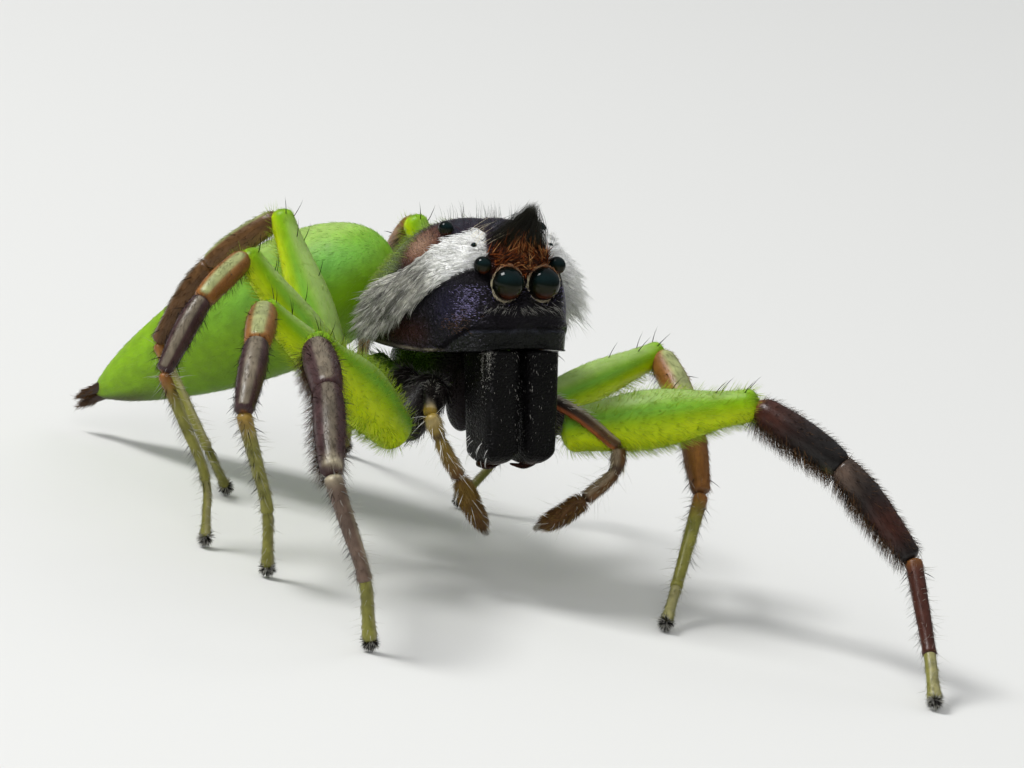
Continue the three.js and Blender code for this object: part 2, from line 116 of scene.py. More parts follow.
# Where the hip segment starts and ends, in the head frame.
HIPS = {
    1: ((0.86, 1.86, -2.42), (2.10, 1.4, -3.5)),
    2: ((0.98, 2.62, -2.40), (2.15, 2.5, -3.1)),
    3: ((0.94, 3.34, -2.38), (2.10, 3.4, -3.0)),
    4: ((0.74, 4.04, -2.36), (1.90, 4.3, -2.9)),
}
# Heading and rise of femur, shank and metatarsus, and the heading of the tarsus.
STANCE = {
    "R1": ((-66, 30), (-21, -20), (63, -61), 60),
    "R2": ((-99, 33), (-31, -24), (105, -58), 43),
    "R3": ((-112.4, 42.7), (-61.2, -44.7), (60.7, -56.5), -4),
    "R4": ((-159, 51), (-135, -58), (21, -43), 110),
    "L1": ((52, 21), (35, -28), (-8, -46), -21),
    "L2": ((97, 23), (-4, -38), (-39, -46), -38),
    "L3": ((148, 41), (128, -51), (-68, -61), -100),
    "L4": ((205, 48), (160, -51), (147, -50), 146),
}
ABDOMEN_FRONT = (0.1, 5.85, 5.95)
ABDOMEN_TAIL = (-3.66, 11.1, 0.98)
ABDOMEN_RADIUS = 1.58
PEDICEL_START = (0, 4.5, -1.9)
PEDICEL_END = (0.06, 6.3, 4.55)
PEDICEL_RADIUS = 0.32


# ------------------------------------------------------------------ colours
def srgb(red, green, blue):
    """A colour given as on a screen, 0 to 255, in linear light."""
    c = np.array([red, green, blue], float) / 255
    return np.where(c <= 0.04045, c / 12.92, ((c + 0.055) / 1.055) ** 2.4)


BLACK = srgb(15, 13, 13)
# A painted blue-violet sheen colour for the cheek.
BLUE_BLACK_SHEEN = srgb(20, 18, 34)
PURPLE = srgb(58, 34, 46)
RED_BROWN = srgb(96, 48, 28)
SALMON = srgb(150, 120, 98)
ORANGE = srgb(176, 92, 38)
RUST = srgb(122, 58, 26)
WHITE = srgb(246, 246, 242)
GREY_WHITE = srgb(200, 198, 188)
GREY_GREEN = srgb(120, 126, 108)
# A painted sheen and highlight colour for the head.
SLATE_SHEEN = srgb(74, 76, 92)
GOLD = srgb(208, 150, 92)
# A painted glint colour for the cheek's specks.
LILAC_GLINT = srgb(150, 142, 190)
CREAM = srgb(226, 214, 180)
GREEN = srgb(118, 158, 8)
DEEP_GREEN = srgb(74, 110, 14)
# Made lighter than the real yellow-green, as painted bounce light on the undersides of the thighs.
YELLOW_GREEN = srgb(180, 198, 4)
PALE_GREEN = srgb(168, 194, 112)
DULL_GREEN = srgb(108, 122, 76)
MINT = srgb(146, 170, 100)
FRINGE = srgb(158, 184, 44)
TEAL = srgb(100, 162, 72)
DARK_BROWN = srgb(50, 34, 24)
BROWN = srgb(104, 72, 38)
YELLOW_BROWN = srgb(140, 114, 52)
OLIVE = srgb(124, 122, 56)
STRIPE = srgb(120, 110, 92)
PLUM = srgb(62, 42, 42)
ROSE_BROWN = srgb(100, 82, 70)
DARK_RED = srgb(62, 30, 20)
AMBER = srgb(128, 84, 40)
SOOT = srgb(30, 26, 24)
MOSS = srgb(38, 38, 24)


def blend(a, b, share):
    """Colours a to b by a share for each point."""
    share = np.clip(np.asarray(share, float), 0, 1)[..., None]
    return np.asarray(a) * (1 - share) + np.asarray(b) * share


def ramp(x, low, high):
    """0 below low, 1 above high, smooth between."""
    t = np.clip((np.asarray(x, float) - low) / (high - low), 0, 1)
    return t * t * (3 - 2 * t)


def bell(x, middle, width):
    return np.exp(-(((np.asarray(x, float) - middle) / width) ** 2))


# ------------------------------------------------------------------ vectors and curves
def unit(a):
    a = np.asarray(a, float)
    return a / np.maximum(np.linalg.norm(a, axis=-1, keepdims=True), 1e-12)


def mirrored(p, side):
    """A place given for the left side, or its mirror image for the right."""
    p = np.array(p, float)
    if side == "R":
        p[..., 0] = -p[..., 0]
    return p


def heading(turn, rise):
    """A direction by its turn from -Y towards +X and its rise, in degrees."""
    a, r = math.radians(turn), math.radians(rise)
    return np.array([math.sin(a) * math.cos(r), -math.cos(a) * math.cos(r), math.sin(r)])


class Curve:
    """A smooth curve through points, read by its share of the length."""

    SAMPLES = 60

    def __init__(self, points):
        p = np.array(points, float)
        if len(p) == 2:
            dense = p[0] + np.linspace(0, 1, self.SAMPLES)[:, None] * (p[1] - p[0])
        else:
            ends = np.vstack([2 * p[0] - p[1], p, 2 * p[-1] - p[-2]])
            knots = np.concatenate([[0], np.cumsum(np.linalg.norm(np.diff(ends, axis=0), axis=1) ** 0.5)])
            dense = np.vstack([self.stretch(ends[i : i + 4], knots[i : i + 4]) for i in range(len(p) - 1)])
        length = np.concatenate([[0], np.cumsum(np.linalg.norm(np.diff(dense, axis=0), axis=1))])
        keep = np.concatenate([[True], np.diff(length) > 1e-9])
        self.dense, self.share = dense[keep], length[keep] / length[-1]
        self.length = length[-1]

    def stretch(self, p, k):
        """The part of a centripetal Catmull-Rom curve between the middle two of four points."""
        t = np.linspace(k[1], k[2], self.SAMPLES)[:, None]

        def mix(a, b, low, high):
            return (a * (high - t) + b * (t - low)) / (high - low)

        a = [mix(p[i], p[i + 1], k[i], k[i + 1]) for i in range(3)]
        b = [mix(a[i], a[i + 1], k[i], k[i + 2]) for i in range(2)]
        return mix(b[0], b[1], k[1], k[2])

    def at(self, t):
        return np.stack([np.interp(t, self.share, self.dense[:, i]) for i in range(3)], axis=-1)

    def direction(self, t):
        step = 0.02
        return unit(self.at(np.clip(t + step, 0, 1)) - self.at(np.clip(t - step, 0, 1)))

    def part(self, start, end):
        return Curve(self.at(np.linspace(start, end, 12)))


# ------------------------------------------------------------------ the head frame
def centre_of(node):
    low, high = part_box(node)
    return (np.array(low) + np.array(high)) / 2 / MM


def turn_x(degrees):
    c, s = math.cos(math.radians(degrees)), math.sin(math.radians(degrees))
    return np.array([[1, 0, 0], [0, c, -s], [0, s, c]])


def turn_y(degrees):
    c, s = math.cos(math.radians(degrees)), math.sin(math.radians(degrees))
    return np.array([[c, 0, s], [0, 1, 0], [-s, 0, c]])


HEAD_TURN = turn_x(-HEAD_PITCH) @ turn_y(HEAD_ROLL)
HEAD_ORIGIN = (centre_of("eye_front_R") + centre_of("eye_front_L")) / 2
SHIFT = HEAD_ORIGIN - np.array([0, 0, EYE_HEIGHT])


def from_head(p):
    """Head frame to the floor frame of the solids."""
    return np.asarray(p, float) @ HEAD_TURN.T + HEAD_ORIGIN


def to_head(p):
    return (np.asarray(p, float) - HEAD_ORIGIN) @ HEAD_TURN


# ------------------------------------------------------------------ skins
class Skin:
    """A closed surface: rows from root to tip (u) and columns around (v), with shared data.

    strip is the skin's place in the coat's unwrap: (left, bottom, width, height).
    """

    def __init__(self, grid, strip=(0, 0, 1, 1), over=None):
        self.grid = np.asarray(grid, float)
        self.rows, self.columns = self.grid.shape[:2]
        self.strip = strip
        along = np.gradient(self.grid, axis=0)
        around = (np.roll(self.grid, -1, 1) - np.roll(self.grid, 1, 1)) / 2
        normal = np.cross(along, around)
        middle = self.grid.mean(axis=1, keepdims=True)
        self.flip = np.sum(normal * (self.grid - middle)) < 0
        if self.flip:
            normal = -normal
        self.along, self.around, self.normal = unit(along), unit(around), unit(normal)
        self.area = np.linalg.norm(np.cross(along, around), axis=-1)
        self.over = over

    def read(self, field, u, v):
        """A field of the grid at shares u along and v around."""
        x = np.clip(u, 0, 1) * (self.rows - 1)
        i = np.minimum(x.astype(int), self.rows - 2)
        f = (x - i)[:, None]
        y = (v % 1.0) * self.columns
        j = y.astype(int) % self.columns
        g = (y - np.floor(y))[:, None]
        k = (j + 1) % self.columns
        low = field[i, j] * (1 - g) + field[i, k] * g
        high = field[i + 1, j] * (1 - g) + field[i + 1, k] * g
        return low * (1 - f) + high * f

    def scatter(self, count, density=None):
        """Random places, evenly spread over the area, or by a density of (u, v)."""
        u = np.arange(self.rows) / (self.rows - 1)
        v = np.arange(self.columns) / self.columns
        uu, vv = np.meshgrid(u, v, indexing="ij")
        weight = self.area.copy()
        if density is not None:
            weight = weight * np.maximum(0, density(uu.ravel(), vv.ravel())).reshape(weight.shape)
        weight = weight.ravel() / weight.sum()
        cell = rng.choice(weight.size, count, p=weight)
        u = (cell // self.columns + rng.uniform(-0.5, 0.5, count)) / (self.rows - 1)
        v = (cell % self.columns + rng.uniform(-0.5, 0.5, count)) / self.columns
        return np.clip(u, 0.001, 0.999), v % 1.0

    def dorsal(self, u, v):
        """1 on top of a limb, -1 beneath it."""
        over = np.stack([np.interp(u, np.linspace(0, 1, self.rows), self.over[:, i]) for i in range(3)], -1)
        return np.sum(self.read(self.normal, u, v) * unit(over), axis=-1)

    def points(self):
        """Shares u and v of every grid corner."""
        u = np.repeat(np.linspace(0, 1, self.rows), self.columns)
        v = np.tile(np.arange(self.columns) / self.columns, self.rows)
        return u, v


# How deep a skin lies inside its solid, under the coat, and the most of a limb's radius that this may be.
SKIN_DEPTH = 0.03
LIMB_DEPTH_SHARE = 0.08


def tube(curve, radius, rows=40, columns=28, flat=1.0, square=1.0, facing=None, strip=(0, 0, 1, 1)):
    """A limb laid along a curve, as the solids are made, with more rows and columns."""
    pole = 0.0006
    t = 0.5 - 0.5 * np.cos(np.pi * (np.arange(rows) + 0.5) / rows)
    t[0], t[-1] = min(t[0], pole), max(t[-1], 1 - pole)
    chord = curve.at(1.0) - curve.at(0.0)
    wide = unit(facing if facing is not None else np.cross(chord, [0, 0, 1]))
    direction = curve.direction(t)
    over = unit(np.cross(wide, direction))
    across = unit(np.cross(direction, over))
    angle = np.arange(columns) / columns * 2 * np.pi
    x = np.sign(np.cos(angle)) * np.abs(np.cos(angle)) ** square
    z = np.sign(np.sin(angle)) * np.abs(np.sin(angle)) ** square * flat
    r = np.asarray(radius(t), float)[:, None, None]
    r = r - np.minimum(SKIN_DEPTH, LIMB_DEPTH_SHARE * r)
    section = x[None, :, None] * across[:, None] + z[None, :, None] * over[:, None]
    if over[:, 2].mean() < 0:
        over = -over
    return Skin(curve.at(t)[:, None] + r * section, strip, over)


def capped(t, start=0.12, end=0.12):
    """Rounds off a limb's ends, each over a share of its length."""
    rise = np.minimum(1, t / start)
    fall = np.minimum(1, (1 - t) / end)
    return np.sqrt(np.maximum(0, 1 - (1 - rise) ** 2)) * np.sqrt(np.maximum(0, 1 - (1 - fall) ** 2))


def ball(rows, columns, pole):
    """A unit ball in rows from front to back, open at the poles by a small angle."""
    a = np.linspace(pole, np.pi - pole, rows)[:, None]
    b = np.arange(columns)[None, :] / columns * 2 * np.pi
    return np.stack([np.sin(a) * np.cos(b), -np.cos(a) + 0 * b, np.sin(a) * np.sin(b)], -1)


# ------------------------------------------------------------------ meshes
def add_mesh(mesh, tint, material, nodes):
    """Puts a mesh with its tints and its material in the scene, in place of CAD nodes where it has them."""
    attribute = mesh.attributes.new("Tint", "FLOAT_COLOR", "POINT")
    colour = np.ones((len(mesh.vertices), 4), np.float32)
    colour[:, :3] = tint
    attribute.data.foreach_set("color", colour.ravel())
    mesh.polygons.foreach_set("use_smooth", np.ones(len(mesh.polygons), bool))
    mesh.materials.append(material)
    mesh.update(calc_edges=True)
    item = bpy.data.objects.new(mesh.name, mesh)
    bpy.context.scene.collection.objects.link(item)
    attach(item, "root")
    if nodes:
        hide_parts(*nodes)


def build_skin(name, skins, paints, material, nodes):
    """One object of one or more closed skins, each with its own paint."""
    points, faces, tints = [], [], []
    start = 0
    for skin, paint in zip(skins, paints):
        rows, columns = skin.rows, skin.columns
        grid = skin.grid.reshape(-1, 3)
        colour = paint(skin, *skin.points())
        index = start + np.arange(rows * columns).reshape(rows, columns)
        nxt = np.roll(index, -1, 1)
        quads = np.stack([index[:-1], nxt[:-1], nxt[1:], index[1:]], -1).reshape(-1, 4)
        first, last = start + rows * columns, start + rows * columns + 1
        low = np.stack([np.full(columns, first), nxt[0], index[0]], -1)
        high = np.stack([np.full(columns, last), index[-1], nxt[-1]], -1)
        if not skin.flip:
            quads, low, high = quads[:, ::-1], low[:, ::-1], high[:, ::-1]
        points += [grid, grid[:columns].mean(0)[None], grid[-columns:].mean(0)[None]]
        tints += [colour, colour[:columns].mean(0)[None], colour[-columns:].mean(0)[None]]
        faces += quads.tolist() + low.tolist() + high.tolist()
        start += rows * columns + 2
    mesh = bpy.data.meshes.new(name)
    mesh.from_pydata((np.vstack(points) * MM).tolist(), [], faces)
    add_mesh(mesh, np.vstack(tints), material, nodes)


class Coat:
    """Hairs of one piece, each a thin closed cone, gathered and then made into one mesh."""

    SIDES = 3
    PATCH = 0.003  # the width of a hair's patch in the unwrap
    INSET = 0.06  # how deep a hair's root stands in the skin, as a share of its length
    FLOOR_GAP = 0.004  # the least height of a hair over the floor
    UNEVEN = 6  # how much the angles of neighbouring hairs differ, in degrees
    WAVE = 0.06  # how far a covering hair strays sideways, as a share of its length

    def __init__(self):
        self.points, self.faces, self.tints, self.maps = [], [], [], []
        self.count = 0

    def grow(self, root, normal, lie, length, width, lift, tint, place, segments=2, wave=0.0):
        """Hairs from roots. lift is two angles over the skin, in degrees, at the root and the tip."""
        n = len(root)
        length = np.broadcast_to(length, n)[:, None]
        lie = unit(lie - np.sum(lie * normal, -1, keepdims=True) * normal)
        low, high = (np.radians(np.broadcast_to(angle, n))[:, None] for angle in lift)
        start = lie * np.cos(low) + normal * np.sin(low)
        end = lie * np.cos(high) + normal * np.sin(high)
        root = root - normal * length * self.INSET
        self.sweep(root, start, end, length, width, tint, place, segments, wave)

    def sweep(self, root, start, end, length, width, tint, place, segments, wave=0.0):
        """Hairs from roots that leave along start and end up along end."""
        n = len(root)
        length = np.broadcast_to(np.asarray(length, float).reshape(-1, 1), (n, 1))
        width = np.broadcast_to(np.asarray(width, float).reshape(-1, 1), (n, 1))
        helper = np.where(np.abs(start[:, 2:3]) > 0.9, [[1.0, 0, 0]], [[0, 0, 1.0]])
        side = unit(np.cross(start, helper))
        up = unit(np.cross(side, start))
        sway = rng.normal(0, 1, (n, 1)) * side + rng.normal(0, 1, (n, 1)) * up
        rings = []
        for k in range(segments):
            s = k / segments
            middle = root + length * (start * (s - s * s / 2) + end * s * s / 2 + sway * wave * s * s)
            reach = width * (1 - s) ** 0.7
            for j in range(self.SIDES):
                a = 2 * np.pi * j / self.SIDES
                rings.append(middle + reach * (math.cos(a) * side + math.sin(a) * up))
        rings.append(root + length * (start / 2 + end / 2 + sway * wave))
        points = np.stack(rings, 1)
        points[..., 2] = np.maximum(points[..., 2], self.FLOOR_GAP)
        each = points.shape[1]
        self.points.append(points.reshape(-1, 3))
        faces = []
        for k in range(segments - 1):
            for j in range(self.SIDES):
                a, b = k * self.SIDES + j, k * self.SIDES + (j + 1) % self.SIDES
                c, d = b + self.SIDES, a + self.SIDES
                faces += [(a, b, c), (a, c, d)]
        last = (segments - 1) * self.SIDES
        faces += [(last + j, last + (j + 1) % self.SIDES, each - 1) for j in range(self.SIDES)]
        faces.append((2, 1, 0))
        faces = np.array(faces)
        offset = self.count + np.arange(n)[:, None, None] * each
        self.faces.append((faces[None] + offset).reshape(-1, 3))
        self.count += n * each
        self.tints.append(np.repeat(np.clip(tint, 0, 1), each, axis=0))
        index = np.arange(each)
        corner = np.stack([(index % self.SIDES) / self.SIDES, (index // self.SIDES) / segments], -1)
        spot = np.clip(place, 0, 1)[:, None] * (1 - self.PATCH) + corner[None] * self.PATCH
        self.maps.append(spot.reshape(-1, 2))

    def build(self, name, material, nodes=()):
        points = np.vstack(self.points)
        faces = np.vstack(self.faces)
        mesh = bpy.data.meshes.new(name)
        mesh.vertices.add(len(points))
        mesh.vertices.foreach_set("co", (points * MM).astype(np.float32).ravel())
        mesh.loops.add(faces.size)
        mesh.loops.foreach_set("vertex_index", faces.astype(np.int32).ravel())
        mesh.polygons.add(len(faces))
        mesh.polygons.foreach_set("loop_start", np.arange(0, faces.size, 3, dtype=np.int32))
        uv = mesh.uv_layers.new(name="OFBake")
        uv.data.foreach_set("uv", np.vstack(self.maps)[faces.ravel()].astype(np.float32).ravel())
        add_mesh(mesh, np.vstack(self.tints), material, nodes)

    def cover(self, skin, count, paint, length, width, lift, density=None, vary=0.12, segments=2,
              spread=0.18):
        """Hairs along a skin's rows, all over it or by a density of (skin, u, v)."""
        u, v = skin.scatter(count, None if density is None else (lambda a, b: density(skin, a, b)))
        root = skin.read(skin.grid, u, v)
        normal = unit(skin.read(skin.normal, u, v))
        way = unit(skin.read(skin.along, u, v))
        way = unit(way + rng.normal(0, spread, way.shape))
        size = length * rng.uniform(0.7, 1.25, count)
        tint = paint(skin, u, v) * rng.uniform(1 - vary, 1 + vary, (count, 1))
        left, bottom, wide, high = skin.strip
        place = np.stack([left + v * wide, bottom + u * high], -1)
        rise = [angle + rng.normal(0, self.UNEVEN, count) for angle in lift]
        width = width * rng.uniform(0.8, 1.2, count)
        self.grow(root, normal, way, size, width, rise, tint, place, segments, self.WAVE)


# ------------------------------------------------------------------ materials
def new_material(name):
    material = bpy.data.materials.new(name)
    material.use_nodes = True
    tree = material.node_tree
    return material, tree, next(n for n in tree.nodes if n.type == "BSDF_PRINCIPLED")


def feed(tree, node, inputs):
    """Sets a node's inputs. Each is a value, or the output of a node to link to it."""
    for name, value in inputs.items():
        if isinstance(value, bpy.types.NodeSocket):
            tree.links.new(value, node.inputs[name])
        else:
            node.inputs[name].default_value = value


def add_node(tree, kind, inputs, output, **settings):
    """A new node's output, after its settings and its inputs."""
    node = tree.nodes.new(f"ShaderNode{kind}")
    for name, value in settings.items():
        setattr(node, name, value)
    feed(tree, node, inputs)
    return node.outputs[output]


def painted(tree):
    return add_node(tree, "Attribute", {}, "Color", attribute_name="Tint")


def mottled(tree, noise, dark, light):
    """The painted tint, times dark to light as a noise goes up."""
    level = add_node(tree, "MapRange", {"From Min": 0.3, "From Max": 0.7, "To Min": dark, "To Max": light,
                                        "Value": noise}, "Result")
    return add_node(tree, "VectorMath", {0: painted(tree), "Scale": level}, "Vector", operation="SCALE")


def cuticle(name, rough, grain, relief, gloss, mottle=0.25, stretch=(1, 1, 1), soft=0.0, pits=0.0,
            glint=(1, 1, 1)):
    """Spider cuticle: its painted tint with fine mottling, a grain of its own and soft gloss."""
    material, tree, shader = new_material(name)
    place = add_node(tree, "TexCoord", {}, "Object")
    scale = [s / (grain * MM) for s in stretch]
    spot = add_node(tree, "Mapping", {"Vector": place, "Scale": scale}, "Vector")
    height = add_node(tree, "TexNoise", {"Vector": spot, "Scale": 1.0, "Detail": 4.0}, "Fac")
    cloud = add_node(tree, "TexNoise", {"Vector": place, "Scale": 1 / (0.3 * MM), "Detail": 5.0}, "Fac")
    if pits:
        cells = add_node(tree, "TexVoronoi", {"Vector": place, "Scale": 1 / (pits * MM)}, "Distance")
        height = add_node(tree, "Math", {0: height, 1: cells}, "Value", operation="ADD")
    bump = {"Strength": relief, "Distance": (pits * 0.9 or grain * 0.6) * MM, "Height": height}
    worn = {"To Min": max(0.02, rough - 0.1), "To Max": rough + 0.1, "Value": cloud}
    feed(tree, shader, {
        "Base Color": mottled(tree, cloud, 1 - mottle, 1 + mottle),
        "Normal": add_node(tree, "Bump", bump, "Normal"),
        "Roughness": add_node(tree, "MapRange", worn, "Result"),
        "Specular IOR Level": gloss,
        "Specular Tint": (*glint, 1),
    })
    if soft:
        feed(tree, shader, {"Subsurface Weight": soft, "Subsurface Radius": (0.5, 1.0, 0.3),
                            "Subsurface Scale": 0.35 * MM})
    return material


def hair(name, rough, soft=0.0):
    """Hair: its painted tint with a slight change along and between hairs."""
    material, tree, shader = new_material(name)
    place = add_node(tree, "TexCoord", {}, "Object")
    noise = add_node(tree, "TexNoise", {"Vector": place, "Scale": 1 / (0.12 * MM), "Detail": 3.0}, "Fac")
    feed(tree, shader, {"Base Color": mottled(tree, noise, 0.82, 1.12), "Roughness": rough,
                        "Specular IOR Level": 0.2})
    if soft:
        feed(tree, shader, {"Subsurface Weight": soft, "Subsurface Radius": (1.0, 1.0, 0.9),
                            "Subsurface Scale": 0.1 * MM})
    return material


def eye_material():
    """A lens of its painted tint with a wet gloss."""
    material, tree, shader = new_material("eye_lens")
    feed(tree, shader, {"Base Color": painted(tree), "Roughness": 0.03, "Specular IOR Level": 0.13})
    return material


MAT_HEAD = cuticle("head_cuticle", rough=0.2, grain=0.05, relief=1.0, stretch=(1, 1, 1.6), pits=0.065,
                   gloss=0.17, glint=(0.8, 0.75, 1.0))
MAT_JAW = cuticle("jaw_cuticle", rough=0.22, grain=0.05, relief=1.0, stretch=(0.6, 1, 2.2), pits=0.06,
                  gloss=0.1)
MAT_THIGH = cuticle("thigh_cuticle", rough=0.4, grain=0.04, relief=0.15, soft=0.35, mottle=0.12, gloss=0.2)
MAT_SHANK = cuticle("shank_cuticle", rough=0.34, grain=0.035, relief=0.3, mottle=0.3, gloss=0.3)
MAT_PALP = cuticle("palp_cuticle", rough=0.35, grain=0.03, relief=0.3, gloss=0.3)
MAT_ABDOMEN = cuticle("abdomen_skin", rough=0.5, grain=0.05, relief=0.3, soft=0.3, mottle=0.15, gloss=0.25)
MAT_HAIR = hair("hair", rough=0.4)
MAT_WHITE_HAIR = hair("white_hair", rough=0.55, soft=0.2)
MAT_EYE = eye_material()


# ------------------------------------------------------------------ head
def station(w):
    """Carapace sizes at a place between stations, smooth from one to the next."""
    table = np.array(CARAPACE)
    slope = np.gradient(table, axis=0)
    i = np.clip(w.astype(int), 0, len(table) - 2)
    f = (w - i)[:, None]
    start, end = 2 * f**3 - 3 * f**2 + 1, -2 * f**3 + 3 * f**2
    leave, arrive = f**3 - 2 * f**2 + f, f**3 - f**2
    return start * table[i] + leave * slope[i] + end * table[i + 1] + arrive * slope[i + 1]


def carapace_skin():
    """Arched sections along the stations, a flat underside and a face closed by smaller rings."""
    side_columns, under_columns, rows, face_rows = 84, 24, 150, 10
    y, wide, shoulder, top, margin = station(np.linspace(0, len(CARAPACE) - 1, rows)).T[..., None]
    t = np.linspace(0, 1, side_columns)[None, :]
    high = top - margin
    corner = [(wide, margin), (wide * 1.02, margin + 0.5 * high),
              (shoulder * 1.02, margin + 1.08 * high), (0 * wide, top)]
    share = [(1 - t) ** 3, 3 * t * (1 - t) ** 2, 3 * t * t * (1 - t), t**3]
    x = sum(s * c[0] for s, c in zip(share, corner))
    z = sum(s * c[1] for s, c in zip(share, corner))
    under = np.linspace(-1, 1, under_columns + 2)[1:-1][None, :]
    x = np.concatenate([x, -x[:, -2::-1], under * wide], 1)
    z = np.concatenate([z, z[:, -2::-1], margin + 0.05 * (1 - under**2)], 1)
    grid = np.stack([x, np.repeat(y, x.shape[1], 1), z], -1)
    shrink = np.linspace(0.08, 0.94, face_rows)[:, None, None]
    middle = grid[0].mean(0)
    face = middle + (grid[0] - middle)[None] * shrink
    face[..., 1] = CARAPACE[0][0] - 0.05 * (1 - shrink[..., 0] ** 2)
    return Skin(from_head(shape_head(np.concatenate([face, grid]))))


# The groove over the smooth band that borders the jaws: y and z in the head frame.
CLYPEUS_LINE = ((-0.13, 0.15, 0.5, 0.9), (-0.98, -1.02, -1.28, -1.62))
# How far the skin rises or sinks round each eye, and how far from the eye's middle.
EYE_RELIEF = {
    "eye_front": (-0.17, 0.5),
    "eye_side": (-0.12, 0.32),
    "eye_small": (0.02, 0.12),
    "eye_rear": (0.05, 0.26),
}
DEEPEST_HOLLOW = -0.18


def shape_head(p):
    """Small forms of the head: hollows that bare the eyes, a pit, furrows and the groove by the jaws."""
    skin = Skin(p)
    push = np.zeros(p.shape[:2])
    for side in (-1, 1):
        for name, (at, _) in EYES.items():
            depth, reach = EYE_RELIEF[name]
            away = np.linalg.norm(p - np.array(at) * np.array([side, 1, 1]), axis=-1)
            push += depth * (1 - ramp(away, reach * 0.7, reach * 1.25))
    x, y, z = np.moveaxis(p, -1, 0)
    push = np.maximum(push, DEEPEST_HOLLOW)
    push -= 0.06 * bell(x, 0, 0.12) * bell(y, 2.35, 0.4) * (z > 0)
    furrows = np.cos(np.arctan2(x, y - 2.3) * 9)
    push += 0.02 * furrows * ramp(y, 2.8, 3.6) * (z > -1.5)
    line = np.interp(y, *CLYPEUS_LINE)
    push -= 0.045 * bell(z, line - 0.02, 0.035) * (y < 1.0) * (y > -0.2)
    push += 0.03 * bell(z, line + 0.08, 0.06) * (y < 1.0)
    push -= SKIN_DEPTH * (skin.normal[..., 2] > -0.5)
    return p + skin.normal * push[..., None]


# The white band as seen from the side, from the eyes back and down the cheek: y, z and half width.
WHISKER_BAND = [(0.7, 0.62, 0.42), (1.1, 0.4, 0.46), (1.55, 0.0, 0.42),
                (2.0, -0.38, 0.45), (2.5, -0.72, 0.5), (2.75, -0.95, 0.4)]


def whisker_share(h):
    """For places on the head: 1 inside the white band, how far along it, and how far behind its middle."""
    y, z, half = np.array(WHISKER_BAND).T
    t = np.linspace(0, 1, 60)
    knots = np.linspace(0, 1, len(y))
    middle = np.stack([np.interp(t, knots, y), np.interp(t, knots, z)], -1)
    away = h[..., None, 1:] - middle
    distance = np.linalg.norm(away, axis=-1)
    near = distance.argmin(-1)
    reach = np.interp(t, knots, half)[near]
    behind = np.take_along_axis(away[..., 0] + away[..., 1], near[..., None], -1)[..., 0] / reach
    return 1 - ramp(distance.min(-1) / reach, 0.75, 1.1), t[near], behind


def paint_head(skin, u, v):
    h = to_head(skin.read(skin.grid, u, v))
    x, y, z = np.abs(h[:, 0]), h[:, 1], h[:, 2]
    colour = np.tile(BLACK * 0.8, (len(u), 1))
    # Painted blue-violet sheen on the cheek, below the side eyes.
    colour = blend(colour, BLUE_BLACK_SHEEN * 1.5, 0.8 * bell(y, 0.75, 0.35) * bell(z, -0.6, 0.4))
    # Painted sheen on the top: slate-blue over the crown and purple beside the small eyes.
    colour = blend(colour, SLATE_SHEEN * 0.5, 0.5 * ramp(z, 0.75, 1.05) * bell(y, 1.5, 0.7))
    colour = blend(colour, PURPLE, 0.8 * bell(x, 0.75, 0.22) * bell(y, 0.8, 0.4) * ramp(z, 0.5, 0.8))
    rear = np.linalg.norm(np.stack([(x - 1.5) * 0.8, (y - 2.1) * 0.7, (z - 0.62) * 0.9], -1), axis=-1)
    colour = blend(colour, RED_BROWN, 0.8 * (1 - ramp(rear, 0.15, 0.75)))
    colour = blend(colour, SALMON, 0.8 * (1 - ramp(rear, 0.05, 0.5)))
    brow = np.linalg.norm(h - [0, 0.1, 0.5], axis=-1)
    colour = blend(colour, RUST * 0.25, (1 - ramp(brow, 0.6, 0.9)) * ramp(z, 0.05, 0.2))
    colour = blend(colour, DULL_GREEN, 0.9 * ramp(y, 2.3, 3.0) * ramp(z, -1.7, -1.0))
    low_cheek = ramp(y, 0.9, 1.6) * (1 - ramp(y, 2.8, 3.4))
    colour = blend(colour, RED_BROWN * 0.16, bell(z, -1.3, 0.28) * low_cheek)
    share, along, _ = whisker_share(h)
    front = ramp(x + 0.6 * np.maximum(0, y - 0.5), 0.72, 0.9)
    colour = blend(colour, WHITE * 0.8, share * front * (1 - ramp(along, 0.3, 0.5)) * 0.9)
    line = np.interp(y, *CLYPEUS_LINE)
    colour = blend(colour, GREY_GREEN * 0.05, ramp(line - z, 0.0, 0.03) * (y < 0.6))
    # A painted highlight: a thin slate line at the top edge of the band over the jaws, at the front.
    colour = blend(colour, SLATE_SHEEN * 0.8, 0.8 * bell(z, line - 0.05, 0.02) * bell(y, 0.12, 0.25))
    # A painted highlight: a thin cream line along the carapace's side margin.
    table = np.array(CARAPACE)
    margin = np.interp(y, table[:, 0], table[:, 4])
    return blend(colour, CREAM * 0.2, bell(z, margin + 0.04, 0.01) * ramp(y, 0.6, 1.0))


# What share of its solid's size each of these pieces has, which leaves room for its coat or its gap.
EYE_SIZE = 0.985
JAW_SIZE = 0.99
THIGH_SIZE = 0.93
ABDOMEN_SIZE = 0.965


